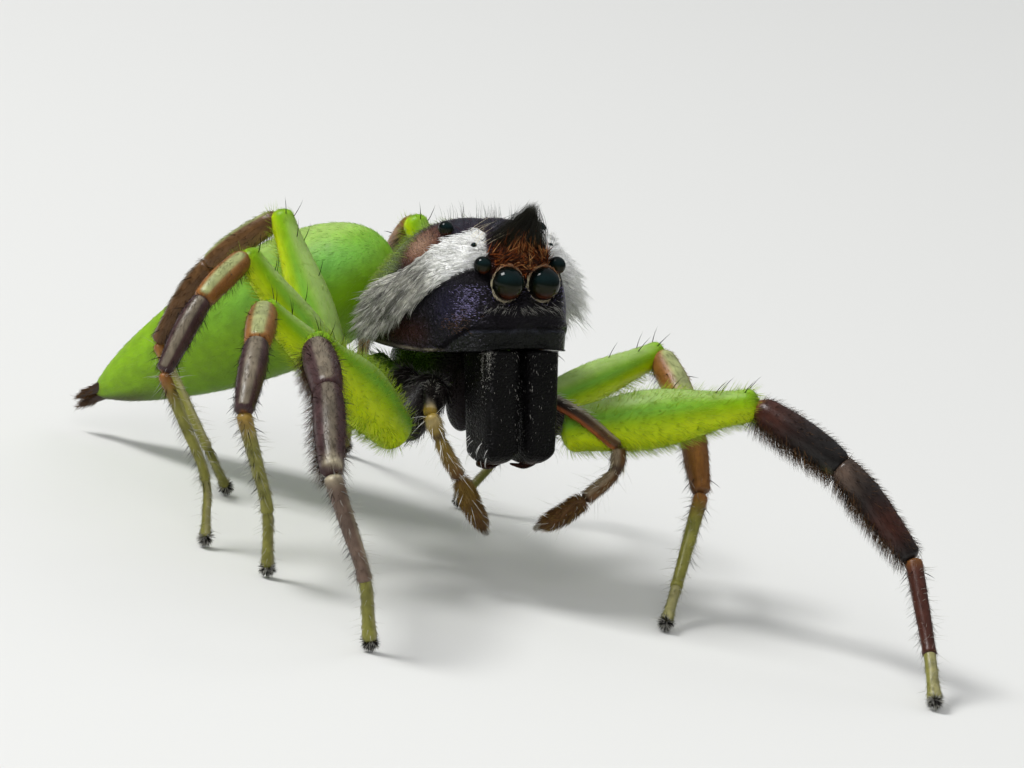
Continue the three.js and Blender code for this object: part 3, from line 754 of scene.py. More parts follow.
def eye_reflection_paint(centre, size):
    """Black glass with a painted reflection on its front: teal-green above, olive and red-brown at the
    bottom.
    """
    def paint(skin, u, v):
        way = (skin.read(skin.grid, u, v) - centre) @ HEAD_TURN / size
        colour = np.tile(srgb(5, 7, 5), (len(u), 1))
        front = ramp(-way[:, 1], 0.1, 0.6)
        # Painted reflection across the front of the lens: olive, then red-brown at the bottom, teal-green at
        # the top.
        colour = blend(colour, srgb(26, 26, 10), front * bell(way[:, 2], -0.25, 0.35))
        colour = blend(colour, srgb(60, 26, 12), 0.8 * front * bell(way[:, 2], -0.8, 0.25))
        return blend(colour, srgb(8, 26, 27), 0.9 * front * bell(way[:, 2], 0.45, 0.4))
    return paint


def make_eyes():
    for side in ("R", "L"):
        for name, (at, radius) in EYES.items():
            centre, size = from_head(mirrored(at, side)), radius * EYE_SIZE
            skin = Skin(ball(40, 56, 0.004) * size @ HEAD_TURN.T + centre)
            paint = eye_reflection_paint(centre, size)
            build_skin(f"{name}_lens_{side}", [skin], [paint], MAT_EYE, [f"{name}_{side}"])


# ------------------------------------------------------------------ jaws and underside
def flat_tint(colour):
    return lambda skin, u, v: np.tile(colour, (len(u), 1))


def head_curve(points, side):
    return Curve(from_head(np.array([mirrored(p, side) for p in points])))


def jaw_skin(side):
    def girth(t):
        wide = JAW_HALF_WIDTH + (JAW_TIP_HALF_WIDTH - JAW_HALF_WIDTH) * t * t
        return wide * capped(t, 0.03, 0.14) * JAW_SIZE

    curve = head_curve((JAW_ROOT, JAW_MIDDLE, JAW_TIP), side).part(JAW_TOP, 1.0)
    return tube(curve, girth, rows=90, columns=96, flat=JAW_HALF_DEPTH / JAW_HALF_WIDTH, square=JAW_SQUARE,
                facing=HEAD_TURN @ np.array([1.0, 0, 0]))


def paint_jaw(skin, u, v):
    colour = np.tile(BLACK * 0.25, (len(u), 1))
    return blend(colour, RED_BROWN * 0.3, ramp(u, 0.86, 0.98))


def make_jaws():
    skins = {}
    for side in ("R", "L"):
        jaw = jaw_skin(side)
        skins[side] = jaw
        build_skin(f"chelicera_skin_{side}", [jaw], [paint_jaw], MAT_JAW, [f"chelicera_{side}"])
        curve = head_curve([np.array(JAW_TIP) + step for step in FANG_STEPS], side)
        fang = tube(curve, lambda t: 0.13 * (1 - 0.85 * t) * capped(t, 0.1, 0.05), rows=24, columns=16)
        paint = flat_tint(RED_BROWN * 0.2)
        build_skin(f"fang_skin_{side}", [fang], [paint], MAT_JAW, [f"fang_{side}"])
    return skins


def paint_underside(skin, u, v):
    h = to_head(skin.read(skin.grid, u, v))
    return blend(SOOT, DEEP_GREEN * 0.7, ramp(h[:, 1], 1.9, 2.8))


def make_underside():
    """The breastplate, the lip and the two plates beside the mouth."""
    plates = [((0.92, 1.75, 0.72), (0, 3.1, -2.25)), ((0.34, 0.55, 0.45), (0, 1.6, -2.6)),
              ((0.36, 0.42, 0.72), (0.44, 1.5, -2.75)), ((0.36, 0.42, 0.72), (-0.44, 1.5, -2.75))]
    skins = [Skin(from_head(ball(32, 40, 0.01) * half_size + np.array(at))) for half_size, at in plates]
    build_skin("underside_skin", skins, [paint_underside] * 4, MAT_HEAD, ["underside"])


# ------------------------------------------------------------------ legs
LEG_SEGMENTS = 6


def leg_joints(name):
    """Hip, knee, ankle, instep and foot of a leg, where the solids have them."""
    side, pair = name[0], int(name[1])
    femur, shank, metatarsus, tarsus, _, _ = LEG_SIZES[pair]
    stance = STANCE[name]
    hip = from_head(mirrored(HIPS[pair][1], side))
    knee = hip + heading(*stance[0]) * femur
    ankle = knee + heading(*stance[1]) * shank
    instep = ankle + heading(*stance[2]) * metatarsus
    drop = math.degrees(math.asin(min(0.98, (instep[2] - PAD_HEIGHT) / tarsus)))
    foot = instep + heading(stance[3], -drop) * tarsus
    foot[2] = PAD_HEIGHT
    return hip, knee, ankle, instep, foot


def leg_skins(name):
    """The skins of one leg from hip to foot, each in its own strip of the coat's unwrap."""
    side, pair = name[0], int(name[1])
    _, _, metatarsus, tarsus, (root, swell, calf, _), hip_radius = LEG_SIZES[pair]
    hip, knee, ankle, instep, foot = leg_joints(name)
    slender, fine = CALF_SHARE[pair], FOOT_SHARE[pair]
    skins = {}

    def segment(part, curve, girth, rows, columns=28, flat=1.0):
        strip = (0.0, len(skins) / LEG_SEGMENTS, 1.0, 1 / LEG_SEGMENTS)
        skins[part] = tube(curve, girth, rows, columns, flat, strip=strip)

    def belly(t):
        body = root + (swell - root) * np.sin(np.pi * np.minimum(1, t * 1.1)) ** 2 - 0.12 * t
        return body * capped(t, 0.06, 0.05) * THIGH_SIZE

    inner = from_head(mirrored(HIPS[pair][0], side))
    segment("coxa", Curve([inner, hip]), lambda t: hip_radius * THIGH_SIZE * capped(t, 0.2, 0.22), 24)
    segment("femur", Curve([hip, hip + (knee - hip) * 1.03]), belly, 60, 40, 1.12)

    chord = ankle - knee
    arch = unit(np.cross(np.cross(chord, [0, 0, 1]), chord)) * SHANK_ARCH
    shin = Curve([knee, knee + chord * SHANK_JOINT + arch, ankle])
    segment("patella", shin.part(0.0, SHANK_JOINT + 0.01),
            lambda t: calf * slender * (0.86 + 0.2 * np.sin(np.pi * t)) * capped(t, 0.16, 0.1), 36, 32)
    segment("tibia", shin.part(SHANK_JOINT - 0.02, 1.0),
            lambda t: calf * slender * (0.78 + 0.22 * np.sin(np.pi * t ** 0.8) - 0.14 * t)
            * capped(t, 0.05, 0.05), 56, 32)

    stops = [(ankle, instep, 0), (ankle, instep, 0.5), (ankle, instep, 0.88),
             (instep, foot, 0.2), (instep, foot, 0.6), (instep, foot, 1)]
    low = Curve([a + (b - a) * f for a, b, f in stops])
    turn = metatarsus / (metatarsus + tarsus)
    segment("metatarsus", low.part(0, turn + 0.02),
            lambda t: fine * (0.185 - 0.05 * t + 0.02 * bell(t, 0.97, 0.05)) * capped(t, 0.05, 0.04), 48, 24)
    segment("tarsus", low.part(turn - 0.01, 1.0),
            lambda t: fine * (0.125 + 0.03 * ramp(t, 0.6, 0.95)) * capped(t, 0.06, 0.12), 36, 24)
    return skins


def stripe(skin, u, v, width=0.4, turn=0.0):
    """A band along the top of a segment with soft edges, turned by a share of the way round."""
    return ramp(skin.dorsal(u, v + turn), 1 - width * 1.25, 1 - width * 0.25)


def paint_coxa(pair):
    def paint(skin, u, v):
        if pair < 3:
            return blend(BLACK, SOOT, u)
        return blend(DEEP_GREEN, YELLOW_GREEN, ramp(u, 0.3, 1.0))
    return paint


def paint_femur(skin, u, v):
    """Pale mint on top, green at the sides, yellow-green beneath made lighter as painted bounce light, and a
    clear green knee.
    """
    top = skin.dorsal(u, v)
    # Yellow-green beneath: its own colour, made lighter as painted bounce light under the thigh.
    colour = blend(GREEN, YELLOW_GREEN, ramp(-top, -0.5, 0.5))
    colour = blend(colour, TEAL, 0.5 * bell(top, 0.4, 0.22) * (1 - ramp(u, 0.5, 0.8)))
    colour = blend(colour, MINT, 0.85 * ramp(top, 0.45, 0.9) * (1 - ramp(u, 0.7, 0.92)))
    return blend(colour, DEEP_GREEN, 0.6 * bell(u, 0.03, 0.05) + 0.5 * bell(u, 0.95, 0.05))


# How far round each leg's pale bands are turned from the top, and how wide they are.
BANDS = {"R1": (0.04, 0.13), "R2": (0.03, 0.18), "R3": (-0.04, 0.14)}


def leg_band(name, skin, u, v):
    turn, width = BANDS.get(name, (0.0, 0.24))
    return stripe(skin, u, v, width, turn)


def paint_patella(name):
    pair = int(name[1])
    body = {"R1": PLUM, "L1": SOOT * 0.6, "R4": BROWN * 0.7}.get(name, AMBER)
    band = STRIPE * 0.85 if pair == 1 else blend(STRIPE, PALE_GREEN, 0.4)

    def paint(skin, u, v):
        colour = blend(body, YELLOW_BROWN, 0.6 * beneath(skin, u, v) * (pair > 1))
        if name == "L1":
            colour = blend(colour, DARK_RED, 0.9 * bell(u, 0.25, 0.2))
            colour = blend(colour, OLIVE * 0.5, 0.7 * bell(u, 0.84, 0.07) * beneath(skin, u, v))
            return blend(colour, AMBER, 0.9 * (1 - ramp(u, 0.1, 0.2)))
        colour = blend(colour, band, 0.9 * leg_band(name, skin, u, v) * ramp(u, 0.05, 0.2))
        return blend(colour, SOOT, 0.7 * ramp(u, 0.94, 0.99))
    return paint


def paint_tibia(name):
    pair = int(name[1])
    body = {"R1": PLUM, "L1": SOOT * 0.6, "L2": AMBER * 0.5, "R4": BROWN * 0.6}.get(name, PLUM)

    def paint(skin, u, v):
        colour = np.tile(body, (len(u), 1))
        if name == "L1":
            start = 0.8 * (1 - ramp(u, 0.15, 0.45)) * (1 - 0.5 * above(skin, u, v))
            colour = blend(colour, ROSE_BROWN, start)
            colour = blend(colour, DARK_RED, 0.8 * bell(u, 0.62, 0.14))
        elif name == "L2":
            colour = blend(colour, AMBER, 0.7 * stripe(skin, u, v, 0.5))
        else:
            colour = blend(colour, STRIPE * (0.6 if pair == 1 else 0.85), 0.9 * leg_band(name, skin, u, v))
        colour = blend(colour, CREAM * 0.55, 0.7 * bell(u, 0.86, 0.08) * above(skin, u, v) * (name == "R1"))
        return blend(colour, AMBER, 0.8 * ramp(u, 0.94, 0.99) * (name != "R1"))
    return paint


def paint_metatarsus(name):
    pair = int(name[1])
    ends = {"R1": (CREAM * 0.4, ROSE_BROWN), "L1": (AMBER, DARK_RED), "R2": (YELLOW_BROWN, OLIVE)}
    start, end = ends.get(name, (AMBER, OLIVE))
    turn = 0.12 if pair == 1 else 0.25

    def paint(skin, u, v):
        colour = blend(start, end, ramp(u, turn - 0.12, turn + 0.15))
        pale = 0.4 * stripe(skin, u, v, 0.4) * ramp(u, 0.25, 0.4)
        colour = blend(colour, CREAM * 0.5, pale * (name[0] == "R"))
        return blend(colour, SOOT, 0.7 * bell(u, 0.96, 0.03))
    return paint


def paint_tarsus(skin, u, v):
    colour = blend(OLIVE * 0.9, CREAM * 0.5, 0.3 * stripe(skin, u, v, 0.5))
    return blend(colour, SOOT, ramp(u, 0.84, 0.97))


def leg_paints(name):
    return {"coxa": paint_coxa(int(name[1])), "femur": paint_femur, "patella": paint_patella(name),
            "tibia": paint_tibia(name), "metatarsus": paint_metatarsus(name), "tarsus": paint_tarsus}


def beneath(skin, u, v):
    return ramp(-skin.dorsal(u, v), 0.1, 0.9)


def above(skin, u, v):
    return ramp(skin.dorsal(u, v), 0.0, 0.9)


def fringe_tint(skin, u, v):
    return blend(SOOT, BROWN, rng.uniform(0, 1, len(u)) ** 2)


def coverer(coat, skins):
    """A coat's cover for the skins of a limb, by their names."""
    return lambda part, *hairs, **more: coat.cover(skins[part], *hairs, **more)


def make_leg(name):
    pair = int(name[1])
    skins, paints = leg_skins(name), leg_paints(name)
    thigh, lower = list(skins)[:2], list(skins)[2:]
    build_skin(f"thigh_skin_{name}", [skins[k] for k in thigh], [paints[k] for k in thigh], MAT_THIGH,
               [f"coxa_{name}", f"femur_{name}"])
    build_skin(f"shank_skin_{name}", [skins[k] for k in lower], [paints[k] for k in lower], MAT_SHANK,
               [f"shank_{name}", f"foot_{name}"])
    coat = Coat()
    cover = coverer(coat, skins)

    def thigh_tint(skin, u, v):
        return blend(paint_femur(skin, u, v), FRINGE, 0.4)

    hip_tint = GREY_WHITE * 0.25 if pair < 3 else PALE_GREEN
    cover("coxa", 500, flat_tint(hip_tint), 0.3, 0.008, (35, 15), vary=0.5)
    cover("femur", 2200, thigh_tint, 0.15, 0.0035, (16, 4))
    cover("femur", 800, flat_tint(FRINGE), 0.3, 0.0045, (60, 40), density=beneath, segments=3)
    if pair == 1:
        cover("femur", 1500, flat_tint(FRINGE), 0.28, 0.0045, (60, 45), segments=3)
    cover("patella", 500, paints["patella"], 0.15, 0.005, (25, 10))
    cover("tibia", 800, paints["tibia"], 0.17, 0.005, (25, 10))
    for part in ("patella", "tibia"):
        if pair == 1:
            cover(part, 1400, fringe_tint, 0.4, 0.0045, (60, 40), density=beneath, segments=3, spread=0.35)
            cover(part, 260, fringe_tint, 0.2, 0.0045, (55, 35), density=above)
        else:
            cover(part, 260, flat_tint(SOOT), 0.22, 0.0045, (60, 45), density=beneath)
    cover("metatarsus", 420, paints["metatarsus"], 0.14, 0.0045, (30, 15))
    cover("metatarsus", 90, flat_tint(GREY_WHITE * 0.8), 0.38, 0.0045, (75, 65), segments=3)
    cover("metatarsus", 110, flat_tint(SOOT), 0.26, 0.0045, (65, 50), density=beneath)
    cover("tarsus", 320, paints["tarsus"], 0.12, 0.0045, (30, 15))
    cover("tarsus", 30, flat_tint(GREY_WHITE * 0.8), 0.3, 0.004, (75, 65), segments=3)
    claw_tuft(coat, name, skins["tarsus"])
    spines(coat, skins)
    coat.build(f"leg_coat_{name}", MAT_HAIR)


def claw_tuft(coat, name, skin):
    """A round tuft of dark and grey scales under and round the claws."""
    _, _, _, instep, foot = leg_joints(name)
    count = 260
    down = unit(foot - instep)
    way = unit(down * 0.35 + np.array([0, 0, -0.1]) + rng.normal(0, 0.7, (count, 3)))
    root = foot - down * 0.02 + np.array([0, 0, 0.02]) + way * 0.07
    tint = np.where(rng.uniform(0, 1, (count, 1)) < 0.5, SOOT, GREY_WHITE * 0.7)
    tint = tint * rng.uniform(0.6, 1.1, (count, 1))
    place = np.stack([rng.uniform(0, 1, count), np.full(count, skin.strip[1] + skin.strip[3] * 0.98)], -1)
    coat.sweep(root, way, unit(way + [0, 0, -0.4]), rng.uniform(0.12, 0.19, count), 0.014, tint, place, 2)


def spines(coat, skins):
    """Long dark bristles: on the far upper side of the thigh and in pairs along the lower leg."""
    on_thigh = ((0.55, 0.25), (0.7, 0.2), (0.72, 0.3), (0.84, 0.17), (0.86, 0.33))
    places = [("femur", u, v, 0.48) for u, v in on_thigh]
    places += [("patella", 0.5, v, 0.3) for v in (0.1, 0.4)]
    places += [("tibia", u, v, 0.34) for u in (0.3, 0.75) for v in (0.08, 0.42, 0.6, 0.9)]
    places += [("metatarsus", u, v, 0.32) for u in (0.25, 0.93) for v in (0.1, 0.4, 0.6, 0.9)]
    for part, along, around, length in places:
        skin = skins[part]
        u, v = np.array([along]), np.array([around])
        root, normal, lie = (skin.read(field, u, v) for field in (skin.grid, skin.normal, skin.along))
        place = np.array([[skin.strip[0] + around, skin.strip[1] + along * skin.strip[3]]])
        coat.grow(root, unit(normal), unit(lie), length, 0.013, (58, 40), SOOT[None] * 0.6, place, segments=3)


# ------------------------------------------------------------------ palps
def palp_paints(side):
    """The right palp is olive and pale, the left one brown and orange beneath, each with a pale stripe of
    painted highlight along the top.
    """
    if side == "R":
        body, dark_end, highlight_share, highlight_start = YELLOW_BROWN * [0.9, 0.95, 0.6], (0.7, 0.98), 0.3, 0.6
    else:
        body, dark_end, highlight_share, highlight_start = BROWN * 0.6, (0.35, 0.8), 0.5, 0.2
    end = BROWN * 0.8

    def femur(skin, u, v):
        colour = blend(SOOT * 0.6, body, ramp(u, *dark_end))
        orange = ramp(-skin.dorsal(u, v), 0.0, 0.6) * ramp(u, 0.2, 0.5) * (side == "L")
        colour = blend(colour, ORANGE * 0.7, 0.9 * orange)
        # A painted highlight: a pale cream stripe along the top.
        pale = stripe(skin, u, v, 0.4) * ramp(u, highlight_start, highlight_start + 0.3)
        return blend(colour, CREAM * 0.6, highlight_share * pale)

    def shank(skin, u, v):
        colour = blend(body, end, ramp(u, 0.3, 0.9))
        # Pale near the start of the right palp's shank, and a painted highlight as a pale stripe along the
        # top.
        pale = bell(u, 0.2, 0.1) * (side == "R") + 0.6 * stripe(skin, u, v, 0.5)
        colour = blend(colour, CREAM * 0.6, np.clip(highlight_share * pale, 0, 0.8))
        return blend(colour, DARK_BROWN, 0.8 * (bell(u, 0.38, 0.04) + bell(u, 0.93, 0.06)))

    def tip(skin, u, v):
        colour = blend(end, body, 0.4 * bell(u, 0.3, 0.2))
        return blend(colour, GREY_WHITE * 0.6, ramp(u, 0.82, 1.0))

    return {"femur": femur, "shank": shank, "tip": tip}


def make_palps():
    girths = {
        "femur": lambda t: (0.15 + 0.015 * t) * capped(t, 0.12, 0.06),
        "shank": lambda t: (0.15 + 0.035 * bell(t, 0.17, 0.13) + 0.02 * bell(t, 0.75, 0.2)
                            - 0.03 * bell(t, 0.38, 0.03)) * capped(t, 0.06, 0.06),
        "tip": lambda t: (0.15 + 0.07 * np.sin(np.pi * t ** 0.8)) * capped(t, 0.1, 0.3),
    }
    for side, palp in PALPS.items():
        curves = {k: Curve(from_head(np.array(p))) for k, p in palp.items()}
        skins = {k: tube(curves[k], girths[k], rows=56, columns=28, strip=(0, i / 3, 1, 1 / 3))
                 for i, k in enumerate(curves)}
        paints = palp_paints(side)
        nodes = [f"palp_{k}_{side}" for k in curves]
        build_skin(f"palp_skin_{side}", list(skins.values()), list(paints.values()), MAT_PALP, nodes)
        coat = Coat()
        cover = coverer(coat, skins)
        cover("femur", 420, paints["femur"], 0.14, 0.005, (30, 12))
        cover("femur", 60, flat_tint(GREY_WHITE), 0.22, 0.0055, (45, 25), segments=3,
              density=lambda s, u, v: bell(u, 0.35, 0.2) * above(s, u, v))
        if side == "R":
            cover("femur", 260, flat_tint(SOOT), 0.4, 0.006, (50, 30), segments=3, spread=0.4,
                  density=lambda s, u, v: 1 - ramp(u, 0.55, 0.75))
        cover("shank", 500, paints["shank"], 0.15, 0.005, (32, 12))
        cover("shank", 80, flat_tint(CREAM * 0.8), 0.2, 0.006, (35, 15))
        cover("tip", 1100, paints["tip"], 0.17, 0.006, (32, 12))
        cover("tip", 260, flat_tint(YELLOW_BROWN), 0.2, 0.006, (35, 15))
        for part, count, length in (("shank", 40, 0.6), ("tip", 36, 0.55)):
            cover(part, count, flat_tint(WHITE), length, 0.005, (60, 45), segments=3)
        cover("tip", 260, flat_tint(GREY_WHITE * 0.8), 0.16, 0.006, (40, 20),
              density=lambda s, u, v: ramp(u, 0.86, 0.97))
        coat.build(f"palp_coat_{side}", MAT_HAIR)


# ------------------------------------------------------------------ abdomen
def paint_abdomen(skin, u, v):
    top = skin.dorsal(u, v)
    pale = 0.7 * ramp(top, 0.45, 0.95) * (1 - ramp(u, 0.3, 0.6))
    colour = blend(GREEN, PALE_GREEN * 0.85, pale)
    colour = blend(colour, TEAL, 0.8 * bell(top, 0.25, 0.4) * bell(u, 0.25, 0.25))
    colour = blend(colour, DEEP_GREEN, 0.5 * ramp(-top, 0.2, 0.9))
    colour = blend(colour, DARK_BROWN, 0.8 * ramp(-top, 0.35, 0.8) * ramp(u, 0.62, 0.8))
    return blend(colour, DARK_BROWN, ramp(u, 0.88, 0.97))


def make_abdomen():
    front, tail = np.array(ABDOMEN_FRONT) + SHIFT, np.array(ABDOMEN_TAIL) + SHIFT

    def girth(t):
        swell = np.sin(np.pi * np.minimum(1, t) ** 0.62)
        return ABDOMEN_SIZE * ABDOMEN_RADIUS * np.maximum(1e-4, swell) ** 0.6

    body = tube(Curve([front, tail]), girth, rows=120, columns=90, flat=0.98)
    back = unit(tail - front)
    cones = []
    for across, over in ((-0.16, 0.08), (0.16, 0.08), (0, -0.14)):
        middle = tail + np.array([across * 0.8, across * 0.55, over])
        cone = Curve([middle - back * 0.55, middle + back * 0.42])
        cones.append(tube(cone, lambda t: 0.17 * (1 - 0.6 * t) * capped(t, 0.1, 0.15), rows=24, columns=16))
    stalk = tube(Curve([from_head(np.array(PEDICEL_START)), np.array(PEDICEL_END) + SHIFT]),
                 lambda t: PEDICEL_RADIUS * capped(t, 0.1, 0.1), rows=20, columns=20)
    brown = flat_tint(DARK_BROWN)
    build_skin("abdomen_skin", [body, stalk], [paint_abdomen, flat_tint(DEEP_GREEN)], MAT_ABDOMEN,
               ["abdomen", "pedicel"])
    build_skin("spinneret_skin", cones, [brown] * 3, MAT_PALP, ["spinnerets"])
    coat = Coat()

    def down_tint(skin, u, v):
        return blend(paint_abdomen(skin, u, v), PALE_GREEN, 0.25)

    coat.cover(body, 9000, down_tint, 0.2, 0.004, (10, 2), vary=0.08)
    for cone in cones:
        coat.cover(cone, 160, flat_tint(BROWN * 0.6), 0.2, 0.006, (30, 10),
                   density=lambda s, u, v: ramp(u, 0.4, 0.6))
    coat.build("abdomen_coat", MAT_HAIR)


# ------------------------------------------------------------------ coat of the head
def head_way(x, y, z):
    """A direction of the head frame, in the floor frame."""
    return unit(HEAD_TURN @ np.array([x, y, z], float))


def clear_of_eyes(h, reach=1.15):
    """0 within reach of an eye, else 1."""
    open_skin = np.ones(len(h))
    for at, radius in EYES.values():
        away = np.linalg.norm(np.stack([np.abs(h[:, 0]), h[:, 1], h[:, 2]], -1) - np.array(at), axis=-1)
        open_skin *= away > radius * reach
    return open_skin


def roots(skin, count, density):
    """Random roots on the head by a density of head frame places: root, normal, head place, unwrap place."""
    u, v = skin.scatter(count, lambda a, b: density(to_head(skin.read(skin.grid, a, b))))
    root = skin.read(skin.grid, u, v)
    return root, unit(skin.read(skin.normal, u, v)), to_head(root), np.stack([v, u], -1)


def varied(colour, count, amount=0.15):
    return np.asarray(colour) * rng.uniform(1 - amount, 1 + amount, (count, 1))


def comb(coat, skin, count, density, lie, spread, length, width, lift, tint, vary=0.15, segments=2, wave=0.0):
    """Hairs on the head. lie is a function of places in the head frame, and tint is one too or a colour."""
    root, normal, h, place = roots(skin, count, density)
    own = tint(h) if callable(tint) else None
    way = unit(lie(h) + rng.normal(0, spread, (count, 3)))
    size = rng.uniform(*length, count)
    colour = varied(tint, count, vary) if own is None else own
    coat.grow(root, normal, way, size, width, lift, colour, place, segments, wave)


TUFT_HOLD = 0.75  # how far a hair's tip is drawn to the tip of its tuft


def gathered(root, start, end, length, tufts):
    """End directions that draw each hair's tip to the tip of its tuft, and the hair that leads the tuft."""
    leader = rng.choice(len(root), tufts, replace=False)
    away = np.linalg.norm(root[:, None] - root[leader][None], axis=-1)
    lead = leader[away.argmin(1)]
    tip = root + length[:, None] * (start + end) / 2
    tip = tip * (1 - TUFT_HOLD) + tip[lead] * TUFT_HOLD
    return unit(2 * (tip - root) / length[:, None] - start), lead


# The lie of the white band on the left, from the eyes to the back: share of the way, direction.
WHISKER_LIE = [(0.0, (0.4, 0.8, -0.2)), (0.25, (0.3, 0.7, -0.6)), (0.5, (0.1, 0.4, -0.9)),
               (0.75, (0.0, 0.2, -1.0)), (1.0, (0.0, 0.3, -1.0))]
# How far the band's hairs stand off and how long they are: the least, and how much more further back.
WHISKER_PUFF = {"R": ((0.45, 0.65), (0.3, 0.34)), "L": ((0.25, 2.5), (0.3, 0.75))}


def make_whisker(skin, side):
    sign = -1 if side == "R" else 1
    stops = np.array([a for a, _ in WHISKER_LIE])
    ways = np.array([w for _, w in WHISKER_LIE])
    (low_lift, more_lift), (short, longer) = WHISKER_PUFF[side]
    coat = Coat()

    def band(h):
        share, _, _ = whisker_share(h)
        front = ramp(np.abs(h[:, 0]) + 0.6 * np.maximum(0, h[:, 1] - 0.5), 0.72, 0.9)
        return share * front * (h[:, 0] * sign > 0) * clear_of_eyes(h, 1.2)

    def layer(count, size, width, lift, tufts):
        root, normal, h, place = roots(skin, count, band)
        _, along, behind = whisker_share(h)
        lie = np.stack([np.interp(along, stops, ways[:, k]) for k in range(3)], -1)
        lie[:, 1] += 0.9 * np.maximum(0, behind) * ramp(along, 0.4, 0.9)
        lie = unit(lie * [sign, 1, 1] + rng.normal(0, 0.2, lie.shape)) @ HEAD_TURN.T
        lie = unit(lie - np.sum(lie * normal, -1, keepdims=True) * normal)
        middle = bell(along, 0.5, 0.34) if side == "L" else ramp(along, 0.3, 1.0)
        lift = (lift * (low_lift + more_lift * middle))[:, None]
        start = unit(lie + lift * normal)
        end = unit(lie + 0.3 * lift * normal + head_way(0, 0, -1) * 0.15)
        length = size * (short + longer * middle) * rng.uniform(0.6, 1.4, count)
        end, lead = gathered(root, start, end, length, tufts)
        # Hairs grow greyer further along the band, partly their own grey and partly painted shade, and each
        # tuft is darkened at random as painted shadow between the strands.
        bright = 1 - ramp(along, 0.2, 0.44) if side == "R" else 1 - 0.4 * ramp(along, 0.4, 0.9)
        shade = rng.uniform(0.2, 1, count)[lead] ** (1.1 - 1.05 * bright) * rng.uniform(0.9, 1.1, count)
        tint = blend(GREY_WHITE * 1.24, WHITE * 1.08, bright) * shade[:, None]
        coat.sweep(root, start, end, length, rng.uniform(*width, count), tint, place, 3, 0.05)

    layer(4200, 0.7, (0.007, 0.011), 0.5, 400)
    layer(4600, 1.0, (0.009, 0.014), 1.0, 560)
    coat.build(f"whisker_coat_{side}", MAT_WHITE_HAIR, [f"whisker_{side}"])


def make_crest(skin):
    coat = Coat()
    line = Curve(from_head(np.array(CREST_PATH)))

    def spike(h):
        base = bell(h[:, 0], 0.06, 0.42) * bell(h[:, 1], 0.48, 0.22) * ramp(h[:, 2], 0.62, 0.76)
        return base * clear_of_eyes(h)

    def front(h):
        return bell(h[:, 0], 0, 0.3) * ramp(h[:, 2], 0.5, 0.7) * (h[:, 1] < 0.5) * clear_of_eyes(h)

    def crown(h):
        return ramp(h[:, 2], 0.45, 0.8) * (h[:, 1] > 0.3) * (h[:, 1] < 2.6) * clear_of_eyes(h)

    # The black spike: each hair aims at a place along the crest's line.
    count = 2100
    root, normal, _, place = roots(skin, count, spike)
    reach = rng.uniform(0.35, 1.0, count) ** 0.8
    aim = line.at(reach) + rng.normal(0, 1, root.shape) * (0.17 - 0.13 * reach[:, None])
    aim += head_way(1, 0, 0) * 0.05
    span = np.linalg.norm(aim - root, axis=-1)
    straight = unit(aim - root)
    start = unit(straight + 0.4 * normal)
    tint = blend(varied(SOOT * 0.5, count, 0.3), MOSS, rng.uniform(0, 1, count))
    coat.sweep(root, start, unit(2 * straight - start), span, 0.008, tint, place, 3, 0.05)

    # Orange and pale strands up the front of its foot.
    count = 150
    root, normal, _, place = roots(skin, count, front)
    aim = line.at(rng.uniform(0.25, 0.8, count)) + rng.normal(0, 0.1, root.shape) + head_way(0, -1, 0) * 0.12
    straight = unit(aim - root)
    start = unit(straight + 0.5 * normal)
    tint = blend(varied(RUST, count, 0.3), GOLD, rng.uniform(0, 1, count) ** 2)
    coat.sweep(root, start, straight, rng.uniform(0.3, 0.55, count), 0.0065, tint, place, 3, 0.12)

    # Thin dark hairs that stand on the crown.
    root, normal, _, place = roots(skin, count, crown)
    start = unit(normal + head_way(0, -0.2, 0.5) + rng.normal(0, 0.15, root.shape))
    end = unit(start + head_way(0, 0.5, 0.0))
    coat.sweep(root, start, end, rng.uniform(0.25, 0.55, count), 0.0045, varied(SOOT, count), place, 3, 0.05)
    coat.build("crest_coat", MAT_HAIR, ["crest"])


def make_brow(coat, skin):
    """Wavy orange strands combed up from the front eyes to the crest, over dark skin."""
    def brow(h):
        band = ramp(h[:, 2], 0.2, 0.36) * (1 - ramp(h[:, 2] + 0.5 * np.abs(h[:, 0]), 0.9, 1.05))
        band = band * (1 - ramp(np.abs(h[:, 0]), 0.75, 0.92))
        return band * (h[:, 1] < 0.75) * clear_of_eyes(h, 1.05)

    count = 800
    root, normal, h, place = roots(skin, count, brow)
    inward = -np.sign(h[:, :1]) * head_way(1, 0, 0) * (0.6 + 0.6 * np.abs(h[:, :1]))
    lie = inward + head_way(0, 0, 1) * (0.25 + 1.1 * ramp(h[:, 2:3], 0.4, 0.85))
    lie = unit(unit(lie) + rng.normal(0, 0.3, lie.shape))
    pick = rng.uniform(0, 1, count)[:, None]
    tint = np.where(pick < 0.6, RUST * 0.12, np.where(pick < 0.87, ORANGE * 0.75, GOLD))
    tint = tint * rng.uniform(0.6, 1.15, (count, 1))
    length = rng.uniform(0.18, 0.4, count)
    coat.grow(root, normal, lie, length, rng.uniform(0.01, 0.017, count), (22, 0), tint, place, 3, 0.3)

    # A few pale hairs that sweep from behind the side eyes up to the crest.
    def temple(h):
        here = bell(np.abs(h[:, 0]), 0.9, 0.15) * bell(h[:, 1], 0.9, 0.35)
        return here * (h[:, 2] > 0.4) * clear_of_eyes(h)

    def up_and_in(h):
        return -np.sign(h[:, :1]) * head_way(1, 0, 0) * 0.9 + head_way(0, -0.25, 0.3)

    comb(coat, skin, 22, temple, up_and_in,
         spread=0.12, length=(0.5, 0.9), width=0.005, lift=(25, 5), tint=CREAM, segments=3, wave=0.12)


